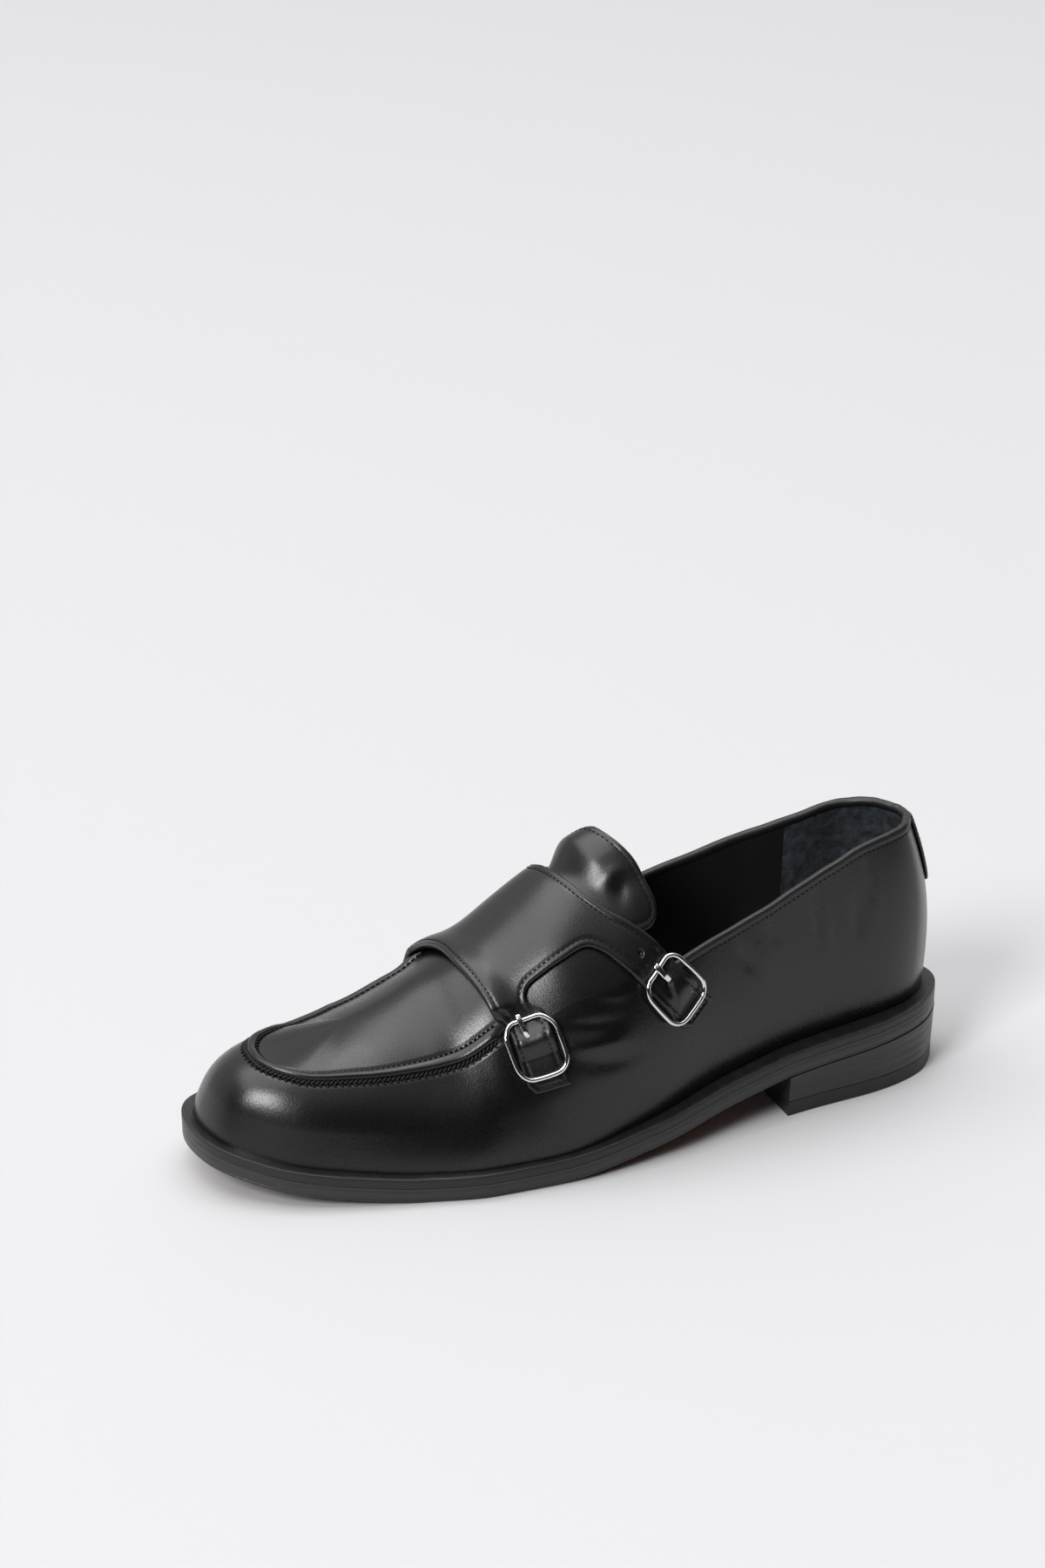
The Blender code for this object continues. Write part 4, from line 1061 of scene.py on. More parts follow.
# Distances of the rows that follow a panel's edge, and where the even net starts
EDGE_ROWS = (0.0002, 0.0005, 0.0009, 0.0014, 0.0018, 0.0022, 0.0026, 0.0034)
NET_START = 0.0041


def inward(line):
    """Unit directions into a closed line that runs either way round."""
    ahead = unit(np.roll(line, -1, 0) - np.roll(line, 1, 0))
    side = np.stack([-ahead[:, 1], ahead[:, 0]], 1)
    x, y = line[:, 0], line[:, 1]
    area = np.sum(x * np.roll(y, -1) - np.roll(x, -1) * y)
    return side if area > 0 else -side


def edge_distance(spots, line):
    """Distance from flat points to the closed line, a block at a time."""
    found = np.empty(len(spots))
    for k in range(0, len(spots), 500):
        block = spots[k : k + 500, None] - line[None]
        found[k : k + 500] = np.min(np.linalg.norm(block, axis=2), axis=1)
    return found


def staggered(low, high, step):
    """Flat points of a triangular net between two corners."""
    i, j = np.meshgrid(np.arange(low[0], high[0], step), np.arange(low[1], high[1], step * 0.87))
    i = i + (np.arange(i.shape[0]) % 2)[:, None] * step / 2
    return np.stack([i.ravel(), j.ravel()], 1)


def net(line, fine, step, fine_spots):
    """Points of a flat panel: its outline, rows along the edge, and an even net inside."""
    side = inward(line)
    spots = [line]
    for depth in EDGE_ROWS:
        moved = line + side * depth
        spots.append(moved[edge_distance(moved, fine) > 0.92 * depth])
    inner = staggered(line.min(0), line.max(0), step)
    for middle, radius, small in fine_spots:
        inner = inner[np.linalg.norm(inner - middle, axis=1) > radius]
        added = staggered(middle - radius, middle + radius, small)
        inner = np.concatenate([inner, added[np.linalg.norm(added - middle, axis=1) < radius]])
    spots.append(inner[edge_distance(inner, fine) > NET_START])
    return np.concatenate(spots)


print("net points on 10 x 10 mm", len(staggered((0, 0), (0.01, 0.01), 0.0015)))


# %% Cutting a panel
def triangles(spots, count):
    """Triangles between flat points, inside the outline of the first count of them."""
    flat = [Vector((float(x), float(y))) for x, y in spots]
    loop = [(k, (k + 1) % count) for k in range(count)]
    found = geometry.delaunay_2d_cdt(flat, loop, [list(range(count))], 1, 1e-8)
    flat = np.array([(p[0], p[1]) for p in found[0]])
    used = np.unique(np.concatenate([np.array(face) for face in found[2]]))
    number = np.full(len(flat), -1)
    number[used] = np.arange(len(used))
    return flat[used], [[int(number[k]) for k in face] for face in found[2]]


def panel(name, line, place, thickness, step, finish, round_edge, groove, dents=None, fine_spots=()):
    """A cut sheet with rounded edges. groove is its distance from the edge, depth and width;
    fine_spots are circles (place, radius, step) where the net of points is finer."""
    fine = closed_curve(line, FINE_STEP)
    flat, faces = triangles(net(line, fine, step, fine_spots), len(line))
    depth = edge_distance(flat, fine)
    under, over = thickness(flat)
    curve = np.clip(round_edge - depth, 0, round_edge)
    fall = round_edge - np.sqrt(np.maximum(round_edge**2 - curve**2, 0))
    distance, deep, wide = groove
    over = over - fall - deep * np.exp(-(((depth - distance) / wide) ** 2))
    under = under + fall * 0.35
    if dents is not None:
        over = over + dents(flat, depth)
    points = np.concatenate([place(flat, over), place(flat, under)])
    total = len(flat)
    edges = [edge for face in faces for edge in zip(face, face[1:] + face[:1])]
    known = set(edges)
    rim = [(a, b) for a, b in edges if (b, a) not in known]
    solid = faces + [[k + total for k in reversed(face)] for face in faces]
    solid += [[b, a, a + total, b + total] for a, b in rim]
    return add_piece(name, points, solid, finish)


def panel_seam(name, line, place, thickness, distance, pitch, size):
    """A row of threads a set distance inside the panel's edge."""
    fine = closed_curve(line, FINE_STEP)
    moved = fine + inward(fine) * distance
    moved = moved[edge_distance(moved, fine) > 0.95 * distance]
    over = thickness(moved)[1]
    points = place(moved, over - 0.00012)
    ups = unit(place(moved, over + 0.001) - points)
    return seam(name, points, ups, THREAD_BLACK, pitch, size)


print("panel rows along the edge", len(EDGE_ROWS))

# %% [markdown]
# ## Saddle
# The saddle is one thick strap panel over the instep. It divides into two legs, which pass
# through the buckles and end in sewn tabs, with a scooped arch between them. Its outline is a
# short list of corners in length and girth, and the legs follow their buckles, so a moved buckle
# takes its strap along.

# %% Sizes of the saddle
SADDLE_THICKNESS = 0.0024
SADDLE_STAND = 0.0016
LEG_WIDTH = 0.0152
LEG_PRESSED = 0.0015
LEG_CROWN = 0.0042
TAB_REACH = 0.0158
BUCKLE_WIDTH = 0.0214
BUCKLE_LENGTH = 0.0214
BUCKLE_CORNER = 0.0062
WIRE = 0.0017
PRONG = 0.0021
PRONG_DEPTH = 0.0009
PRONG_SLANT = 0.22
BAR = BUCKLE_LENGTH / 2 - WIRE / 2
RIDE = LEG_PRESSED + WIRE / 2 + 3 * GAP


def on_last(flat, height):
    """Carries flat points, in length and girth, to the last."""
    return mid(flat[:, 0], flat[:, 1] / GIRTH, height)


print("strap", SADDLE_THICKNESS, "legs", LEG_WIDTH, "frame", BUCKLE_WIDTH, "wire", WIRE)

# %% [markdown]
# A buckle sits where its strap crosses the last, turned by the strap's slope. An empty object
# could hold that place, but the last curves under it. So each buckle keeps a small flat map,
# which turns distances down the strap and across it into length and girth.

# %% Places of the buckles
NEAR_X = 0.004
NEAR_G = 0.05


class Buckle:
    """Where one buckle sits: its centre in x and g, and the slope of its strap in degrees."""

    def __init__(self, name, place, g, slope, prong_shift):
        self.name, self.x, self.g, self.shift = name, place * LENGTH, g, prong_shift
        along = (mid(self.x + NEAR_X, g) - mid(self.x - NEAR_X, g)).reshape(3)
        around = (mid(self.x, g + NEAR_G) - mid(self.x, g - NEAR_G)).reshape(3)
        level = around / np.linalg.norm(around)
        across = along - level * along.dot(level)
        across /= np.linalg.norm(across)
        turned = math.radians(slope)
        down = level * math.cos(turned) - across * math.sin(turned)
        forward = across * math.cos(turned) + level * math.sin(turned)
        surface = np.stack([along / (2 * NEAR_X), around / (2 * NEAR_G)], 1)
        self.axes = np.linalg.lstsq(surface, np.stack([down, forward], 1), rcond=None)[0]
        self.reverse = np.linalg.inv(self.axes)

    def flat(self, down, forward):
        """Place in x and g of points down the strap and forward across it, in metres."""
        dx, dg = np.tensordot(self.axes, np.stack(np.broadcast_arrays(down, forward)), 1)
        return self.x + dx, self.g + dg

    def local(self, x, g):
        """The reverse of flat."""
        return np.tensordot(self.reverse, np.stack([x - self.x, g - self.g]), 1)

    def put(self, down, forward, height):
        """Points at a height over the strap's place on the last."""
        return mid(*self.flat(down, forward), height)


# Name, place along the length, g, slope in degrees, and the prong's place across the strap
BUCKLES = (
    Buckle("front", 0.6007, 1.1670, 10.5, 0.0018),
    Buckle("rear", 0.4210, 1.1661, 40.5, 0.0),
)
print("buckles", [(buckle.name, round(buckle.x, 4)) for buckle in BUCKLES])

# %% Outline of the saddle
# Scooped edge between the legs: place along the length, then g
SADDLE_ARCH = (
    (0.5990, 0.880), (0.5950, 0.815), (0.5740, 0.798), (0.5500, 0.785), (0.5230, 0.768),
    (0.5050, 0.815), (0.4880, 0.902),
)


def leg(buckle):
    """Outline of a strap leg, round its sewn tab."""
    half = LEG_WIDTH / 2
    sides = (
        (-BAR, half), (0.0, half), (0.78 * TAB_REACH, half), (TAB_REACH, 0.7 * half),
        (TAB_REACH, -1.1 * half), (0.0, -1.05 * half), (-BAR, -half),
    )
    return [buckle.flat(down, forward) for down, forward in sides]


def saddle_line():
    """Front edge, front leg, arch, rear leg and back edge, as one closed line."""
    front, rear = BUCKLES
    points = [(LENGTH * place, g) for g, place in SADDLE_FRONT[:-1]]
    starts = [len(points)]
    points += leg(front) + [(LENGTH * place, g) for place, g in SADDLE_ARCH]
    starts.append(len(points))
    points += leg(rear) + [(LENGTH * place, g) for g, place in reversed(SADDLE_BACK)]
    tabs = {start + k for start in starts for k in (2, 3, 4)}
    corners = tabs | {0, len(points) - 1}
    return closed_curve([(x, g * GIRTH) for x, g in points], OUTLINE_STEP, corners)


SADDLE_LINE = saddle_line()
print("saddle outline", len(SADDLE_LINE), "points")

# %% Thickness of the saddle
# How far behind its front edge the saddle starts to stand off and fully does, and where it ends
STAND_RUN = (0.010, 0.002)
STAND_SIDE = (1.00, 1.15)
# How far above the bar a leg starts to be pressed down and fully is, and how far to its sides
PRESS_RUN = (0.0050, 0.0012)
PRESS_SIDE = (0.0118, 0.0150)
# How each strap end humps up inside its frame: crest down the strap, and half its length
LEG_BULGE = {"front": (-0.0034, 0.0062), "rear": (0.0, 0.0088)}
# The slanting fold in the rear strap: a place on it (down, forward), its direction and its size
FOLD_START = (-0.0062, -0.0011)
FOLD_TURN = (math.cos(0.53), math.sin(0.53))
FOLD_DEPTH = 0.0009
FOLD_HALF = 0.0009
# The spare hole up the rear strap: down, forward, radius and depth
HOLE = (-0.0163, 0.0012, 0.0008, 0.0014)


def hole_place():
    """Flat place of the spare hole."""
    x, g = BUCKLES[1].flat(*HOLE[:2])
    return np.array((float(x), float(g) * GIRTH))


def saddle_dents(flat, depth):
    """The punched hole up the rear strap."""
    radius, deep = HOLE[2:]
    away = np.linalg.norm(flat - hole_place(), axis=1)
    return -deep * (1 - smooth(radius * 0.7, radius * 1.3, away))


def saddle_thickness(flat):
    """Heights of the saddle's two faces: it stands off at its front and dips under its buckles."""
    x, g = flat[:, 0], flat[:, 1] / GIRTH
    edge = LENGTH * FRONT_EDGE(g)
    stand = smooth(edge - STAND_RUN[0], edge - STAND_RUN[1], x)
    stand = stand * (1 - smooth(*STAND_SIDE, np.abs(g)))
    lift = GAP + SADDLE_STAND * stand
    over = lift + SADDLE_THICKNESS
    for buckle in BUCKLES:
        down, forward = buckle.local(x, g)
        pressed = smooth(-BAR - PRESS_RUN[0], -BAR - PRESS_RUN[1], down)
        pressed = pressed * (1 - smooth(*PRESS_SIDE, np.abs(forward)))
        crest, half = LEG_BULGE[buckle.name]
        middle = np.clip(1 - np.abs(down - crest) / half, 0, 1)
        bulge = (LEG_CROWN - LEG_PRESSED) * np.sin(middle * math.pi / 2) ** 1.3
        if buckle.name == "rear":
            away = (forward - FOLD_START[1]) * FOLD_TURN[0] - (down - FOLD_START[0]) * FOLD_TURN[1]
            bulge = bulge * (1 - 0.50 * smooth(-0.0010, 0.0012, away))
            bulge = bulge - FOLD_DEPTH * np.exp(-((away / FOLD_HALF) ** 2)) * (middle > 0)
        bulge = np.maximum(bulge, -0.0003)
        lift = lift + (GAP - lift) * pressed
        over = over + (GAP + LEG_PRESSED + bulge - over) * pressed
    return lift, over


print("saddle over the instep", saddle_thickness(np.array([(0.55 * LENGTH, 0.0)])))

# %% The saddle itself
saddle = panel(
    "saddle_skin", SADDLE_LINE, on_last, saddle_thickness, 0.0015, SADDLE_SKIN,
    round_edge=0.0009, groove=(0.0021, 0.00028, 0.00045), dents=saddle_dents,
    fine_spots=[(np.array((b.x, b.g * GIRTH)), 0.0115, 0.0007) for b in BUCKLES]
    + [(hole_place(), 0.0022, 0.0003)],
)
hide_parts("saddle")
THREAD_SIZE = (0.0016, 0.00055, 0.0005)
seams.append(panel_seam(
    "saddle_stitches", SADDLE_LINE, on_last, saddle_thickness, 0.0021, 0.0021, THREAD_SIZE
))

# %% [markdown]
# ## Tongue
# The tongue comes out from under the saddle and stands off the foot towards its free end. A
# soft hollow and a swell beside it show where it has bent. Sculpting could shape it, but cut as
# the other panels are, it keeps an even thickness, and a table of shares lifts it from the last.

# %% Outline of the tongue
TONGUE_THICKNESS = 0.0020
TONGUE_RISE = 0.0080
# Outline of the tongue: place along the length, then g
TONGUE_LINE = (
    (0.4628, -0.040),
    (0.4550, 0.110),
    (0.4455, 0.250),
    (0.4349, 0.395),
    (0.4270, 0.554),
    (0.4200, 0.700),
    (0.4300, 0.795),
    (0.4640, 0.790),
    (0.5200, 0.720),
    (0.6100, 0.520),
    (0.6200, 0.200),
    (0.6200, -0.200),
    (0.6100, -0.520),
    (0.5400, -0.720),
    (0.5040, -0.770),
    (0.4930, -0.640),
    (0.4904, -0.455),
    (0.4790, -0.318),
    (0.4698, -0.172),
)
# How far the tongue stands off behind the throat: g, then share of TONGUE_RISE
TONGUE_STAND = (
    (-1.00, 0.70),
    (-0.70, 0.90),
    (-0.455, 1.00),
    (-0.32, 0.90),
    (-0.04, 0.68),
    (0.25, 0.45),
    (0.395, 0.24),
    (0.55, 0.06),
    (1.00, 0.02),
)
TONGUE_SHARE = columns(TONGUE_STAND)[0]
TONGUE_EDGE = closed_curve([(p * LENGTH, g * GIRTH) for p, g in TONGUE_LINE], OUTLINE_STEP)
print("tongue outline", len(TONGUE_EDGE), "points")


# %% Stand and dents of the tongue
def tongue_thickness(flat):
    """Heights of the tongue's two faces: under the wall ahead, off the foot behind."""
    x, g = flat[:, 0], flat[:, 1] / GIRTH
    behind = smooth(0.001, 0.013, np.minimum(throat_x(g), LENGTH * BACK_EDGE(g)) - x)
    over = TONGUE_RISE * TONGUE_SHARE(g) * behind - WALL - 2 * GAP
    return over - TONGUE_THICKNESS, over


# Hollows and swells where the tongue has bent: x, half length, g, half girth, height
TONGUE_DENTS = ((0.1385, 0.0028, 0.55, 0.07, -0.0009), (0.1400, 0.0040, 0.42, 0.05, 0.0007))


def tongue_dents(flat, depth):
    """Soft dents of the tongue, which spare its edge."""
    x, g = flat[:, 0], flat[:, 1] / GIRTH
    total = np.zeros(len(flat))
    for middle, length, level, girth, height in TONGUE_DENTS:
        total += height * np.exp(-(((x - middle) / length) ** 2) - (((g - level) / girth) ** 2))
    return total * smooth(0.002, 0.005, depth)


tongue = panel(
    "tongue_skin", TONGUE_EDGE, on_last, tongue_thickness, 0.0015, TONGUE_SKIN,
    round_edge=0.0009, groove=(0.0021, 0.00022, 0.00045), dents=tongue_dents,
)
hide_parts("tongue")
THREAD_SIZE = (0.0017, 0.00055, 0.0005)
seams.append(panel_seam(
    "tongue_stitches", TONGUE_EDGE, on_last, tongue_thickness, 0.0021, 0.0023, THREAD_SIZE
))

# %% [markdown]
# ## Back strip
# A narrow pointed strip covers the heel seam under the binding. It could be wrapped on with a
# Shrinkwrap, but the panel's own way holds its thickness. It is laid on the heel by angle
# instead of by length, because the last turns fully round there.

# %% Strip on the heel seam
STRIP_WIDTH = 0.0130
STRIP_THICKNESS = 0.0012
STRIP_TURN = 0.031
# Half outline of the strip, from its top corner to its point: share of the half width, then g
STRIP_HALF = ((1.00, 0.985), (0.92, 0.720), (0.55, 0.585), (0.00, 0.570))


def on_heel(flat, height):
    """Carries flat points to the back of the heel, by angle and height."""
    return lifted(flat[:, 0] / STRIP_TURN, flat[:, 1] / COLLAR_HEIGHT, height)


def strip_thickness(flat):
    """Heights of the strip's two faces."""
    return np.full(len(flat), GAP), np.full(len(flat), GAP + STRIP_THICKNESS)


def strip_line():
    """Half the strip's outline as shares of half width and collar height, and its mirror."""
    half = [(share * STRIP_WIDTH / 2, g * COLLAR_HEIGHT) for share, g in STRIP_HALF]
    line = half + [(-across, rise) for across, rise in reversed(half[:-1])]
    return closed_curve(line, 0.0007, {0, len(line) - 1})


STRIP_LINE = strip_line()
back_strip = panel(
    "back_strip_skin", STRIP_LINE, on_heel, strip_thickness, 0.0014, STRIP_SKIN,
    round_edge=0.0006, groove=(0.0014, 0.00015, 0.0003),
)
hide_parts("back_strip")
THREAD_SIZE = (0.0015, 0.0005, 0.0004)
seams.append(panel_seam(
    "back_strip_stitches", STRIP_LINE, on_heel, strip_thickness, 0.0014, 0.0020, THREAD_SIZE
))

# %% [markdown]
# ## Sole
# Outsole, welt, heel stack and top piece are flat leather cut to one outline and trimmed
# together, so their edges run flush and only fine lines part them. A Bevel would round all
# edges alike. Stacking insets of the outline gives each layer its own broken edges.

# %% Stacking a layer
# The outline has points at the breast of the heel and at this distance each side of the ball
FLAT_HALF = 0.011
LAYER_GAP = GAP * 0.3
SOLE_SHARP = 35


def round_trip(count, last=math.pi, forced=()):
    """Angles round the outline, the same on both sides, with some places by length forced."""
    half = np.linspace(0.0, last, count)
    half = np.unique(np.round(np.concatenate([half, [float(turn(x / LENGTH)) for x in forced]]), 9))
    half = half[half <= last + 1e-9]
    back = half[1:-1] if last > math.pi - 1e-6 else half[1:]
    return np.concatenate([half, -back[::-1]])


def raised(plan, height):
    """Flat points with their heights."""
    return np.concatenate([plan, (np.zeros(len(plan)) + height)[:, None]], 1)


def slab(name, levels, angles, finish, foot=inset):
    """A solid stacked from outlines, each with its inset and its height at x."""
    points = []
    for distance, height in levels:
        plan = foot(angles, distance)
        points.append(raised(plan, height(plan[:, 0])))
    cols = len(angles)
    faces = grid_faces(len(levels), cols, wrap=True)
    for first in (0, (len(levels) - 1) * cols):
        for j in range(cols // 2):
            strip = [first + k for k in (j, j + 1, cols - j - 1, (cols - j) % cols)]
            faces.append(list(dict.fromkeys(strip)))
    return add_piece(name, np.concatenate(points), faces, finish, SOLE_SHARP)


def between(low, high, share, rise=0.0):
    """A height at a share of the way between two surfaces, and a little more."""
    return lambda x: low(x) + (high(x) - low(x)) * share + rise


ROUND = round_trip(220, forced=(HEEL_LENGTH, BALL_X - FLAT_HALF, BALL_X + FLAT_HALF))
HEEL_ROUND = round_trip(160, float(turn(HEEL_LENGTH / LENGTH)))
print("points round the sole", len(ROUND), "and round the heel", len(HEEL_ROUND))

# %% [markdown]
# The outsole is the layer that meets the floor. Its dressed edge is black and its underside is
# bare red-brown leather. Two objects could carry the two colours, but one solid with a second
# material on the faces that look down has no seam between them.

# %% Outsole
EDGE_INSET = 0.0001
EDGE_LINES = 2
LINE_CUT = 0.00006
LINE_HALF = 0.00012


def sole_top(x):
    """Height of the outsole's upper face."""
    return tread(x) + OUTSOLE_THICKNESS


def outsole_levels():
    """Insets and heights of the edge, with shallow level lines between its broken corners."""
    levels = [(0.0005, 0.0, 0.0), (0.0001, 0.0, 0.0004)]
    for share in np.linspace(0.2, 0.8, EDGE_LINES):
        levels += [(0.0, share, -LINE_HALF), (LINE_CUT, share, 0.0), (0.0, share, LINE_HALF)]
    levels += [(0.00003, 1.0, -0.0001), (0.00015, 1.0, 0.0)]
    return [(EDGE_INSET + cut, between(tread, sole_top, share, rise)) for cut, share, rise in levels]


def tread_leather():
    """Plain red-brown leather, rubbed along its fibres."""
    made, tree, shader = material("tread_leather", (0.13, 0.040, 0.024), 0.55)
    fibre = noise(tree, 160, 5.0, 0.6, (0.4, 1.6, 1.0))
    two_tone(tree, shader, ramp(tree, fibre, 0.3, 0.7), (0.10, 0.030, 0.018), (0.16, 0.052, 0.030))
    tree.links.new(ramp(tree, fibre, 0.3, 0.7, 0.45, 0.65), shader.inputs["Roughness"])
    bump(tree, shader, fibre, 0.00006)
    return made


outsole = slab("outsole_body", outsole_levels(), ROUND, SOLE_EDGE)
outsole.data.materials.append(tread_leather())
for polygon in outsole.data.polygons:
    if polygon.normal.z < -0.85:
        polygon.material_index = 1
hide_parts("outsole")

# %% [markdown]
# The welt is the flat band between the upper and the outsole. It could be a full layer like the
# others, but only its outer part is real, since the insole fills the middle. So one section,
# with a broken edge and a flat top, is swept round the outline.

# %% Welt
# Section of the welt: inset from the sole's edge, then height above the outsole
WELT_SECTION = (
    (0.00012, 0.0), (0.0, 0.00012), (0.00003, 0.0012), (0.0, 0.0020),
    (0.0, WELT_THICKNESS - 0.0007), (0.0002, WELT_THICKNESS - 0.0002), (0.0006, WELT_THICKNESS),
    (0.0022, WELT_THICKNESS), (0.0052, WELT_THICKNESS), (WELT_BAND, WELT_THICKNESS),
    (WELT_BAND, 0.0),
)


def welt_piece():
    """The band between outsole and upper, with a broken edge."""
    sections = []
    for distance, rise in WELT_SECTION:
        plan = inset(ROUND, distance)
        sections.append(raised(plan, sole_top(plan[:, 0]) + LAYER_GAP + rise))
    return sweep("welt_band", np.stack(sections, 1), WELT_SKIN, closed=True, angle=SOLE_SHARP)


welt = welt_piece()
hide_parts("welt")

# %% [markdown]
# A heel is a stack of leather layers over a harder top piece, which wears against the floor. The
# layers could be separate solids, but they are glued and trimmed as one block, so one solid
# shows them as fine cut lines. It narrows a little towards the floor.

# %% Heel stack and top piece
LAYERS = 3
LAYER_CUT = 0.00003
LAYER_HALF = 0.00010


def level_at(height):
    """A level surface."""
    return lambda x: height


def heel_top(x):
    """The outsole's underside, less the gap between layers."""
    return tread(x) - LAYER_GAP


def heel_levels():
    """Insets and heights of the stack, with a fine line between its layers."""
    low = level_at(LIFT_THICKNESS + LAYER_GAP)
    levels = [(HEEL_TAPER, low)]
    for share in np.arange(1, LAYERS + 1) / (LAYERS + 1):
        out = HEEL_TAPER * (1 - share)
        for cut, rise in ((0.0, -LAYER_HALF), (LAYER_CUT, 0.0), (0.0, LAYER_HALF)):
            levels.append((out + cut, between(low, heel_top, share, rise)))
    return levels + [(0.0, heel_top)]


heel = slab("heel_layers", heel_levels(), HEEL_ROUND, HEEL_SKIN)
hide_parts("heel_stack")
lift_levels = (
    (HEEL_TAPER + 0.0005, level_at(0.0)),
    (HEEL_TAPER + 0.00005, level_at(0.0005)),
    (HEEL_TAPER + 0.00002, level_at(LIFT_THICKNESS - 0.0003)),
    (HEEL_TAPER + 0.0003, level_at(LIFT_THICKNESS)),
)
lift = slab("heel_top_piece", lift_levels, HEEL_ROUND, LIFT_SKIN)
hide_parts("heel_lift")

# %% [markdown]
# Inside, a thin leather sock covers the insole. A Boolean could cut it from the upper's inside,
# but it has to follow the foot of the upper closely. So it is stacked from outlines that start
# where the upper meets the sole.

# %% Sock inside the shoe
SOCK_SIDE = 0.0022
SOCK_THICKNESS = 0.0030
SOCK_INSET = WALL + 2 * GAP


def sock_foot(angle, distance):
    """Points a distance inside the upper's foot."""
    margin = WELT_WIDTH * by_side(angle, MARGIN_LATERAL, MARGIN_MEDIAL)
    return inset(angle, margin + distance)


def sock_floor(x):
    """Height of the insole's underside."""
    return tread(x) + EDGE + GAP


sock_levels = (
    (SOCK_INSET, sock_floor),
    (SOCK_INSET, lambda x: sock_floor(x) + SOCK_SIDE),
    (SOCK_INSET + 0.0008, lambda x: sock_floor(x) + SOCK_THICKNESS),
)
sock = slab("sock", sock_levels, round_trip(140), SOCK, sock_foot)
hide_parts("insole")

# %% [markdown]
# ## Buckles
# Each buckle is a bent wire with round corners and one flat prong over its bar. A bevelled
# curve would do for the wire on a flat strap, but the frame bows with the foot. So its centre
# line is laid on the last point by point, and a flattened round is swept along it.

# %% Wire frame
def buckle_frame(buckle):
    """A rounded square of wire, bowed a little on each side, laid on the last."""
    bend = BUCKLE_CORNER - 0.0010
    long, wide = BUCKLE_LENGTH / 2 - BUCKLE_CORNER, BUCKLE_WIDTH / 2 - BUCKLE_CORNER
    route = []
    for quarter, (down, forward) in enumerate(((1, 1), (-1, 1), (-1, -1), (1, -1))):
        t = np.linspace(0, math.pi / 2, 9) + quarter * math.pi / 2
        route += list(np.stack([down * long + bend * np.cos(t), forward * wide + bend * np.sin(t)], 1))
    spots = closed_curve(route, OUTLINE_STEP)
    down = spots[:, 0] * (1 + 0.05 * (1 - (spots[:, 1] / (wide + bend)) ** 2))
    forward = spots[:, 1] * (1 + 0.03 * (1 - (down / (long + bend)) ** 2))
    centres = buckle.put(down, forward, RIDE)
    ups = buckle.put(down, forward, RIDE + 0.001) - centres
    made = tube(f"{buckle.name}_buckle_wire", centres, ups, WIRE / 2, STEEL, sides=18, flat=0.85)
    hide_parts(buckle.name + "_buckle")


print("frame corners", BUCKLE_CORNER, "ride", RIDE)

# %% [markdown]
# The prong is the flat pin that comes out of the strap's hole and rests on the frame. It could
# be a bent box with a Bevel. Eight corners swept along a short path give the same broken edges,
# and let it dip into the hole at one end and hold the bar at the other.

# %% Prong
def prong(buckle):
    """The flat tongue of the buckle: out of the strap's hole and over the bar."""
    rest = RIDE + WIRE / 2 + PRONG_DEPTH / 2 + 0.0001
    path = np.array((
        (0.0047, rest - 0.0010), (0.0045, rest - 0.0009), (0.0034, rest - 0.0003), (0.0014, rest),
        (-0.0006, rest), (-0.0015, rest - 0.0001), (-0.0018, rest - 0.0002),
    ))
    middle = buckle.shift - PRONG_SLANT * path[:, 0]
    width = np.array((0.80, 0.98, 1.0, 1.0, 1.0, 0.98, 0.80)) * PRONG / 2
    depth = np.array((0.6, 0.95, 1.0, 1.0, 1.0, 0.95, 0.6)) * PRONG_DEPTH / 2
    corners = (
        (-1, -0.6), (-0.8, -1), (0.8, -1), (1, -0.6), (1, 0.4), (0.72, 1), (-0.72, 1), (-1, 0.4),
    )
    sections = []
    for across, rise in corners:
        place = buckle.flat(path[:, 0] - BAR, middle + across * width)
        sections.append(mid(*place, path[:, 1] + rise * depth))
    made = sweep(f"{buckle.name}_prong_bar", np.stack(sections, 1), STEEL, angle=40)
    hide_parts(buckle.name + "_prong")


for buckle in BUCKLES:
    buckle_frame(buckle)
    prong(buckle)

# %% [markdown]
# ## Studio
# Black leather shows nothing but what it mirrors. A pale paper floor lights the low walls, a
# room that is dark in front keeps the sides deep, a large soft light overhead draws the broad
# sheen, a small one before the toe draws the toe's highlight, and a third one from behind
# lays a faint shadow forwards.

# %% Floor and room
FLOOR_COLOUR = (0.540, 0.540, 0.551)
FLOOR_HALF = 15


def direction_share(tree, axis, low, high, to_low, to_high):
    """A value that runs with one axis of the direction looked at."""
    place = tree.nodes.new("ShaderNodeTexCoord")
    split = tree.nodes.new("ShaderNodeSeparateXYZ")
    tree.links.new(place.outputs["Generated"], split.inputs["Vector"])
    made = tree.nodes.new("ShaderNodeMapRange")
    made.interpolation_type = "SMOOTHSTEP"
    for label, value in zip(("From Min", "From Max", "To Min", "To Max"), (low, high, to_low, to_high)):
        made.inputs[label].default_value = value
    tree.links.new(split.outputs[axis], made.inputs["Value"])
    return made.outputs["Result"]


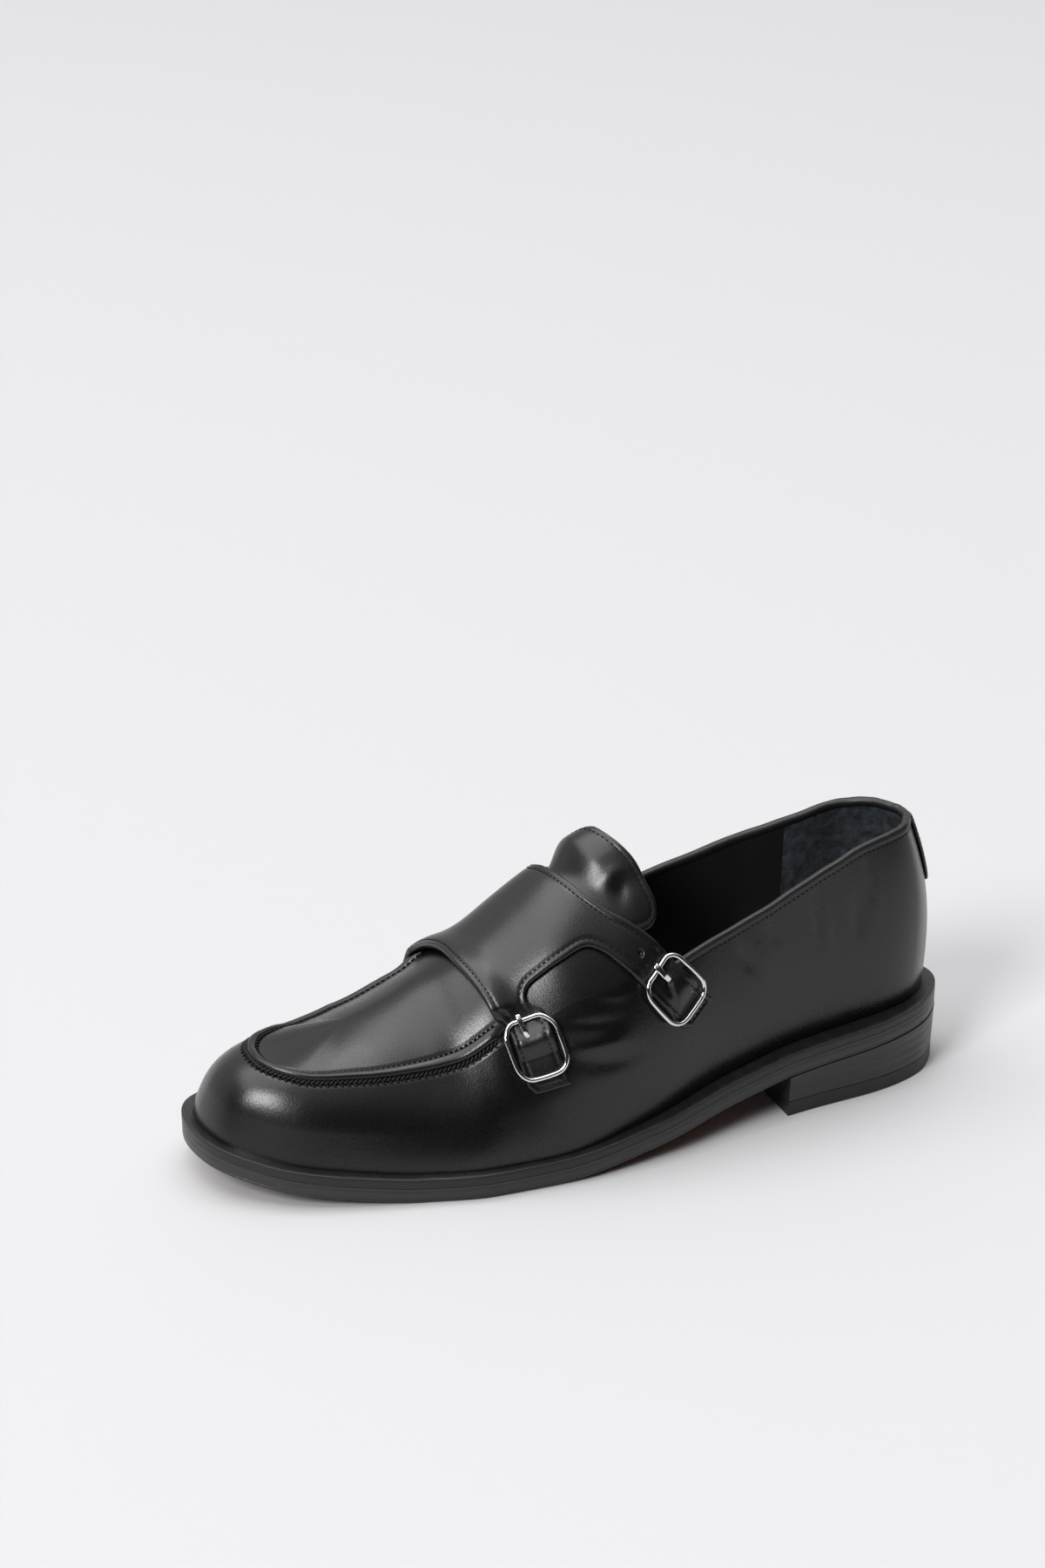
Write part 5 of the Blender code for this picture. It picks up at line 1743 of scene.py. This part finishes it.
def stage():
    """A plain paper floor, and a room that is bright behind and above."""
    mesh = bpy.data.meshes.new("floor")
    corners = [(x * FLOOR_HALF, y * FLOOR_HALF, 0) for x, y in ((-1, -1), (1, -1), (1, 1), (-1, 1))]
    mesh.from_pydata(corners, [], [(0, 1, 2, 3)])
    mesh.materials.append(material("studio_floor", FLOOR_COLOUR, 0.75)[0])
    floor = bpy.data.objects.new("floor", mesh)
    bpy.context.scene.collection.objects.link(floor)
    world = bpy.data.worlds.new("room")
    world.use_nodes = True
    tree = world.node_tree
    behind = direction_share(tree, "Y", -0.60, 0.20, 0.60, 0.02)
    above = direction_share(tree, "Z", 0.60, 0.90, 0.0, 0.50)
    both = mix(tree, "ADD", behind, above)
    tree.nodes["Background"].inputs["Color"].default_value = (1.0, 1.0, 1.0, 1.0)
    tree.links.new(both, tree.nodes["Background"].inputs["Strength"])
    bpy.context.scene.world = world
    bpy.context.scene.view_settings.view_transform = "Standard"


stage()
print("floor", FLOOR_COLOUR, "room", bpy.context.scene.world.name)

# %% Lights
LIGHT_DISTANCE = 9.0
# Name, direction from the shoe, width and height in metres, brightness
LIGHTS = (
    ("overhead", (0.36, -0.16, 0.92), (7.9, 7.9), 2.6),
    ("toe_light", (0.66, 0.46, 0.60), (2.6, 3.3), 24.0),
    ("window", (-0.25, -0.25, 0.93), (5.0, 5.0), 2.4),
)


def soft_light(name, toward, size, radiance):
    """A rectangle of light seen from the shoe in one direction, with an even brightness."""
    light = bpy.data.lights.new(name, "AREA")
    light.shape = "RECTANGLE"
    light.size, light.size_y = size
    light.energy = radiance * math.pi * size[0] * size[1]
    made = bpy.data.objects.new(name, light)
    place = Vector(toward).normalized() * LIGHT_DISTANCE
    made.location = place
    made.rotation_euler = (-place).to_track_quat("-Z", "Y").to_euler()
    bpy.context.scene.collection.objects.link(made)


for light in LIGHTS:
    soft_light(*light)

# %% [markdown]
# ## Camera
# The viewpoint could be found by trial. Here it was worked out from the outline of the sole, the
# collar and the buckles, so its place, its angles and its lens are written as they came out. The
# frame is upright, so the lens is measured on the frame's height.

# %% Camera
# Place in metres from the heel's end on the floor, turn and height in degrees, and lens
CAMERA_PLACE = (0.61133, 1.16184, 0.6398)
CAMERA_TURN = 159.17
CAMERA_RISE = 22.14
LENS = 85.02
FRAME_HEIGHT = 36


def camera():
    """The photo's viewpoint, worked out from the outline of the sole and the buckles."""
    lens = bpy.data.cameras.new("camera")
    lens.sensor_fit = "VERTICAL"
    lens.sensor_height = FRAME_HEIGHT
    lens.lens = LENS
    made = bpy.data.objects.new("camera", lens)
    turned, up = math.radians(CAMERA_TURN), math.radians(CAMERA_RISE)
    back = Vector((math.sin(turned) * math.cos(up), -math.cos(turned) * math.cos(up), math.sin(up)))
    right = Vector((math.cos(turned), math.sin(turned), 0))
    above = back.cross(right)
    axes = Matrix((right, above, back)).transposed().to_4x4()
    axes.translation = Vector(CAMERA_PLACE) - Vector(CENTRE)
    made.matrix_world = axes
    bpy.context.scene.collection.objects.link(made)
    bpy.context.scene.camera = made


camera()
print("camera", bpy.context.scene.camera.location[:])
